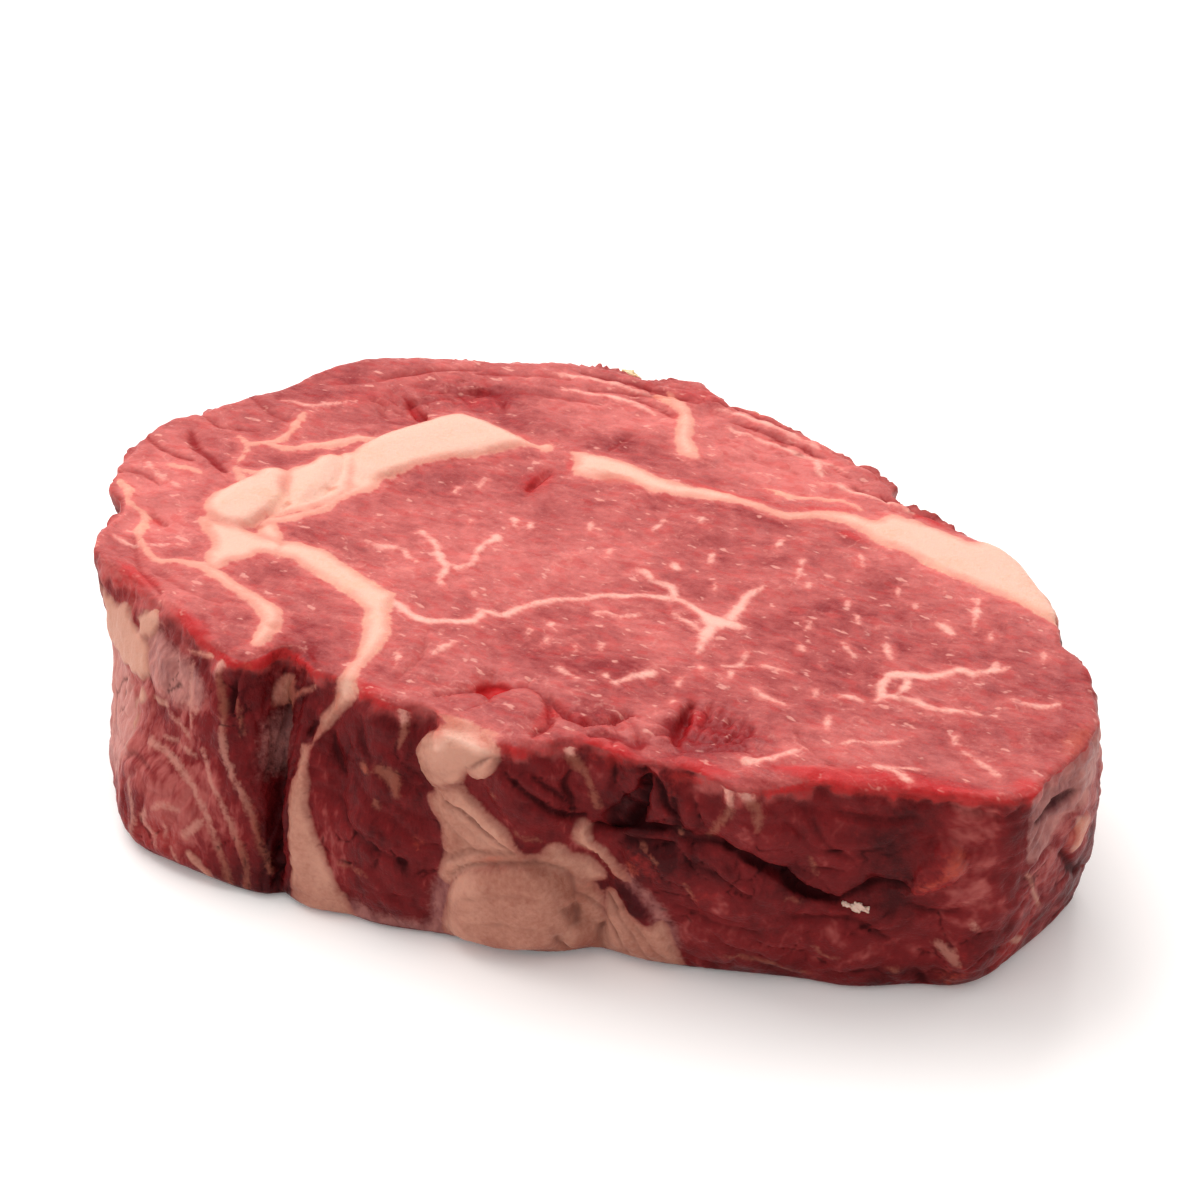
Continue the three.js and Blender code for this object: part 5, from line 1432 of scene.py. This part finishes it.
def bundle_gaps(meat):
    """How far points lie from the gaps between the bundles of the side and of the cut face."""
    upright = rise(-meat.p[:, 0], *UPRIGHT_PLACE)[:, None]
    sizes = np.array(SIDE_BUNDLE) * (1 - upright) + np.array(UPRIGHT_BUNDLE) * upright
    slanted = meat.p.copy()
    slanted[:, 2] -= BUNDLE_SLANT * np.abs(meat.p[:, 0] - BUNDLE_TURN) * (1 - upright[:, 0])
    side_gap = bundle_gap(slanted / sizes + meat.warp * SIDE_BUNDLE_WARP, SIDE_BUNDLE_SEED)
    face_gap = bundle_gap(meat.p / np.array(FACE_BUNDLE) + meat.warp * FACE_BUNDLE_WARP, FACE_BUNDLE_SEED)
    return side_gap, face_gap


def dress(mesh, settings):
    """Raises the relief of the meat and stores what its material needs."""
    meat = Surface(mesh)
    x, _, z = meat.p.T
    fat, vein, skin, crease = drawn_features(meat)
    puff, hollow = bodies_and_hollows(meat)
    side_gap, face_gap = bundle_gaps(meat)
    torn = np.clip(oval_share(meat.p[:, :2], FACE_TORN), 0, 1)
    lean_share = 1 - FAT_CALM * rise(fat, 0, FAT_CALM_DEPTH)

    # relief
    side_bundle = np.sqrt(rise(side_gap, 0, SIDE_BUNDLE_EDGE))
    face_bundle = np.sqrt(rise(face_gap, 0, FACE_BUNDLE_EDGE))
    side_lumps = layered(meat.p, SIDE_LUMPS) + BUNDLE_HEIGHT * side_bundle - BUNDLE_LEVEL
    folds = (FOLD_HEIGHT + TORN_FOLD_HEIGHT * torn) * (face_bundle - FOLD_LEVEL)
    waves = layered(meat.long_way, LONG_WAVES) + layered(meat.p, FACE_WAVES)
    lift = settings.fat_height / MM * rise(fat + layered(meat.p, RAGGED_FAT), *FAT_EDGE)
    lift += settings.vein_height / MM * rise(vein, *VEIN_EDGE)
    lift += puff - crease - hollow
    lift += settings.lump_height / MM * (meat.wall + BACK_LUMPS * meat.back) * lean_share * side_lumps
    lift += meat.back * layered(meat.p, BACK_SWELL)
    lift += meat.near_rim * lean_share * layered(meat.p, RIM_LUMPS) * (1 + MIDDLE_FRAY * meat.middle)
    lift += meat.top * lean_share * (waves + folds)
    lift *= rise(z, *FOOT_CLEAR) * (1 - meat.under)
    moved = meat.p + meat.n * lift[:, None]
    moved[:, 2] = np.maximum(moved[:, 2], 0.0)
    mesh.vertices.foreach_set("co", (moved * MM).ravel())

    # painted shade: dark lines in the hollows and in the gaps between the bundles
    some = rise(layered(meat.p, CRACK_PLACES), *CRACK_GATE)
    side_crack_shade = SIDE_CRACK_SHADE * some * some * (1 - rise(side_gap, 0, SIDE_CRACK_EDGE))
    face_crack_shade = (FACE_CRACK_SHADE * some + TORN_CRACK_SHADE * torn) * (1 - rise(face_gap, 0, FACE_CRACK_EDGE))
    crease = crease + hollow * HOLLOW_SHADE
    crease += meat.wall * (1 - meat.near_rim) * lean_share * side_crack_shade
    crease += meat.top * lean_share * face_crack_shade

    # colour of the upper edge, lighter and darker patches, and direction of the grain
    rim_height = RIM_HEIGHT + RIM_RISE * rise(x, *RIM_RISE_PLACE) + RIM_MIDDLE_RISE * meat.middle
    rim_noise = layered(meat.p, RIM_COLOUR_WAVES) + meat.middle * layered(meat.p, MIDDLE_COLOUR_WAVES)
    rim = meat.wall * rise(z + rim_noise, rim_height, rim_height + RIM_FADE)
    red = meat.ovals(FACE_RED, FRONT_RED, RIGHT_RED)
    red += rim * (RIM_RED + RIM_END_RED * rise(x, *RIM_END_PLACE) - RIM_MIDDLE_RED * meat.middle)
    patch = layered(meat.p, PATCHES) + layered(meat.long_way, LONG_PATCHES)
    patch *= 1 - FACE_PATCH_CALM * meat.top
    side_grain = np.stack([z / SIDE_GRAIN_HEIGHT, np.radians(meat.angle) * SIDE_GRAIN_ROUND, 0 * z], 1)
    side_grain[:, :2] += meat.warp[:, :2] * SIDE_GRAIN_WARP

    stored = {
        "fat": fat, "vein": vein, "skin": skin, "crease": crease, "red": red,
        "orange": meat.ovals(FACE_ORANGE, FRONT_ORANGE, RIGHT_ORANGE),
        "tone_and_painted_light": TONE_AND_LIGHT_SHARE * meat.ovals(FACE_TONES_SHADE_AND_LIGHT, FRONT_TONES_SHADE_AND_LIGHT, RIGHT_TONES_SHADE_AND_SHEEN),
        "side": (1 - meat.top) * (1 - RIM_FACE_LOOK * rim), "cut": meat.plan,
        "wet": meat.top * oval_share(meat.p[:, :2], FACE_WET), "patch": patch,
        "side_grain": side_grain, "place": meat.p,
    }
    for name, values in stored.items():
        store(mesh, name, values)
    mesh.shade_smooth()
    mesh.update()


class MESH_OT_steak_meat(bpy.types.Operator):
    """Builds the meat as one fine mesh over the CAD solid"""
    bl_idname = "mesh.steak_meat"
    bl_label = "Meat"
    bl_options = {"REGISTER", "UNDO"}

    def execute(self, context):
        settings = context.scene.steak_meat
        piece = fine_mesh(settings)
        dress(piece.data, settings)
        piece.data.materials.clear()
        piece.data.materials.append(beef_material(settings))
        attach(piece, "root")
        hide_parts("steak")
        return {"FINISHED"}


def scrap_material(name, colour):
    """Soft fat with a slightly uneven colour."""
    g = Graph(bpy.data.materials.new(name))
    patches = g.noise(g.add("ShaderNodeTexCoord").outputs["Object"], *SCRAP_PATTERN)
    darker = tuple(c * SCRAP_SHADE for c in colour)
    shader = g.add("ShaderNodeBsdfPrincipled")
    g.feed_all(shader, {
        "Base Color": g.mix(patches, darker, colour), "Roughness": g.rise(patches, *SCRAP_ROUGHNESS),
        "Subsurface Weight": SCRAP_GLOW, "Subsurface Scale": MM,
    })
    return g.finish(shader)


def scrap(name, centre, size, material, seed):
    """A small torn lump: a ball stretched to size and roughened."""
    shape = bmesh.new()
    bmesh.ops.create_icosphere(shape, subdivisions=BALL_DETAIL, radius=0.5)
    points = np.array([v.co for v in shape.verts])
    layers = [(lump, strength, seed + later, *start) for lump, strength, later, *start in SCRAP_LUMPS]
    for vert, push in zip(shape.verts, 1 + layered(points, layers)):
        vert.co = Vector(c * push * s for c, s in zip(vert.co, size)) + Vector(centre)
    mesh = bpy.data.meshes.new(name)
    shape.to_mesh(mesh)
    shape.free()
    mesh.shade_smooth()
    mesh.materials.append(material)
    piece = place_in_scene(name, mesh)
    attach(piece, "root")
    return piece


def surface_point(x, y, z, direction):
    """Where a ray meets the meat, from a point outside it."""
    meat = bpy.data.objects.get("steak_meat")
    if meat is None:
        raise RuntimeError("build the meat before its scraps")
    found, place, _, _ = meat.ray_cast(Vector((x, y, z)) * MM, Vector(direction))
    if not found:
        raise RuntimeError("the ray misses the meat")
    return place


class MESH_OT_steak_scraps(bpy.types.Operator):
    """Adds the white crumbs on the front and the scrap at the back edge"""
    bl_idname = "mesh.steak_scraps"
    bl_label = "Scraps"
    bl_options = {"REGISTER", "UNDO"}

    def execute(self, context):
        settings = context.scene.steak_scraps
        bpy.context.view_layer.update()
        white = scrap_material("crumb_fat", settings.crumb_colour)
        yellow = scrap_material("scrap_fat", settings.scrap_colour)
        size = settings.crumb_size
        for i, (x, z, length, height) in enumerate(CRUMBS):
            place = surface_point(x, OUTSIDE_FRONT, z, (0, 1, 0))
            sides = (size * length, size * CRUMB_DEPTH, size * height)
            scrap(f"crumb_{i + 1}", place, sides, white, CRUMB_SEED + i)
        x, z = EDGE_SCRAP_PLACE
        place = surface_point(x, OUTSIDE_BACK, z, (0, -1, 0))
        scrap("edge_scrap", place, EDGE_SCRAP_SIZE, yellow, EDGE_SCRAP_SEED)
        return {"FINISHED"}


def build_floor(settings):
    """A plain pale sheet just below the steak."""
    shape = bmesh.new()
    bmesh.ops.create_grid(shape, x_segments=FLOOR_CELLS, y_segments=FLOOR_CELLS, size=settings.floor_size / 2)
    mesh = bpy.data.meshes.new("pale_floor")
    shape.to_mesh(mesh)
    shape.free()
    floor = place_in_scene("pale_floor", mesh)
    floor.location.z = -FLOOR_DROP
    g = Graph(bpy.data.materials.new("pale_paper"))
    mottle = g.noise(g.add("ShaderNodeTexCoord").outputs["Object"], *FLOOR_PATTERN)
    darker = tuple(c * FLOOR_SHADE for c in settings.floor_colour)
    shader = g.add("ShaderNodeBsdfPrincipled")
    g.feed_all(shader, {
        "Base Color": g.mix(mottle, darker, settings.floor_colour), "Roughness": FLOOR_ROUGHNESS,
        "Specular IOR Level": FLOOR_GLOSS, "Emission Color": WHITE, "Emission Strength": FLOOR_BRIGHTNESS,
    })
    mesh.materials.append(g.finish(shader))


def build_soft_light(settings):
    """Light from all round, brighter from one side, behind a plain white background."""
    world = bpy.data.worlds.new("soft_light")
    bpy.context.scene.world = world
    g = Graph(world, "ShaderNodeOutputWorld")
    lean = g.add("ShaderNodeVectorMath", operation="DOT_PRODUCT")
    g.feed(lean.inputs[0], g.add("ShaderNodeTexCoord").outputs["Generated"])
    g.feed(lean.inputs[1], SKY_LEAN)
    level = g.add("ShaderNodeMapRange")
    g.feed_all(level, {"Value": lean.outputs["Value"], "From Min": SKY_SPAN[0], "From Max": SKY_SPAN[1],
                       "To Min": settings.sky * SKY_DIM, "To Max": settings.sky * SKY_BRIGHT})
    light = g.add("ShaderNodeBackground")
    g.feed_all(light, {"Color": WHITE, "Strength": level.outputs["Result"]})
    plain = g.add("ShaderNodeBackground")
    g.feed_all(plain, {"Color": WHITE})
    choose = g.add("ShaderNodeMixShader")
    g.feed(choose.inputs[0], g.add("ShaderNodeLightPath").outputs["Is Camera Ray"])
    g.feed(choose.inputs[1], light.outputs[0])
    g.feed(choose.inputs[2], plain.outputs[0])
    g.finish(choose)


def aim(thing, place, back):
    """Puts a lamp or camera at a place, with its back turned to a direction."""
    thing.location = place
    thing.rotation_euler = Vector(back).to_track_quat("Z", "Y").to_euler()


def hang_lamp(name, place, size, power):
    """A rectangular lamp that shines at the steak."""
    lamp = bpy.data.lights.new(name, "AREA")
    lamp.shape = "RECTANGLE"
    lamp.size, lamp.size_y = size
    lamp.energy = power
    aim(place_in_scene(name, lamp), place, place)


def set_camera(settings):
    """The camera at the photo's view."""
    camera = bpy.data.cameras.new("photo_view")
    camera.sensor_width = SENSOR_WIDTH
    camera.lens = settings.lens
    camera.clip_start = NEAREST_SEEN
    camera.clip_end = FURTHEST_SEEN
    eye = place_in_scene("photo_view", camera)
    aim(eye, CAMERA_PLACE, CAMERA_BACK)
    bpy.context.scene.camera = eye


class SCENE_OT_steak_stage(bpy.types.Operator):
    """Sets up the pale floor, the soft light and the camera"""
    bl_idname = "scene.steak_stage"
    bl_label = "Stage"
    bl_options = {"REGISTER", "UNDO"}

    def execute(self, context):
        settings = context.scene.steak_stage
        build_floor(settings)
        build_soft_light(settings)
        hang_lamp("large_lamp", LAMP_PLACE, LAMP_SIZE, settings.lamp_power)
        hang_lamp("glint_lamp", GLINT_PLACE, GLINT_SIZE, settings.glint_power)
        set_camera(settings)
        context.scene.view_settings.view_transform = "Standard"
        return {"FINISHED"}


class VIEW3D_PT_steak(bpy.types.Panel):
    """Lists the pieces and their settings"""
    bl_label = "Raw beef steak"
    bl_space_type = "VIEW_3D"
    bl_region_type = "UI"
    bl_category = "Steak"

    def draw(self, context):
        for operator, group in ((MESH_OT_steak_meat, context.scene.steak_meat),
                                (MESH_OT_steak_scraps, context.scene.steak_scraps),
                                (SCENE_OT_steak_stage, context.scene.steak_stage)):
            box = self.layout.box()
            box.operator(operator.bl_idname)
            for name in group.__annotations__:
                box.prop(group, name)


CLASSES = (SteakMeatSettings, SteakScrapSettings, SteakStageSettings, MESH_OT_steak_meat,
           MESH_OT_steak_scraps, SCENE_OT_steak_stage, VIEW3D_PT_steak)


def register():
    for item in CLASSES:
        bpy.utils.register_class(item)
    bpy.types.Scene.steak_meat = bpy.props.PointerProperty(type=SteakMeatSettings)
    bpy.types.Scene.steak_scraps = bpy.props.PointerProperty(type=SteakScrapSettings)
    bpy.types.Scene.steak_stage = bpy.props.PointerProperty(type=SteakStageSettings)


def unregister():
    del bpy.types.Scene.steak_stage
    del bpy.types.Scene.steak_scraps
    del bpy.types.Scene.steak_meat
    for item in reversed(CLASSES):
        bpy.utils.unregister_class(item)


def main():
    register()
    bpy.ops.mesh.steak_meat()
    bpy.ops.mesh.steak_scraps()
    bpy.ops.scene.steak_stage()


if __name__ == "__main__":
    main()
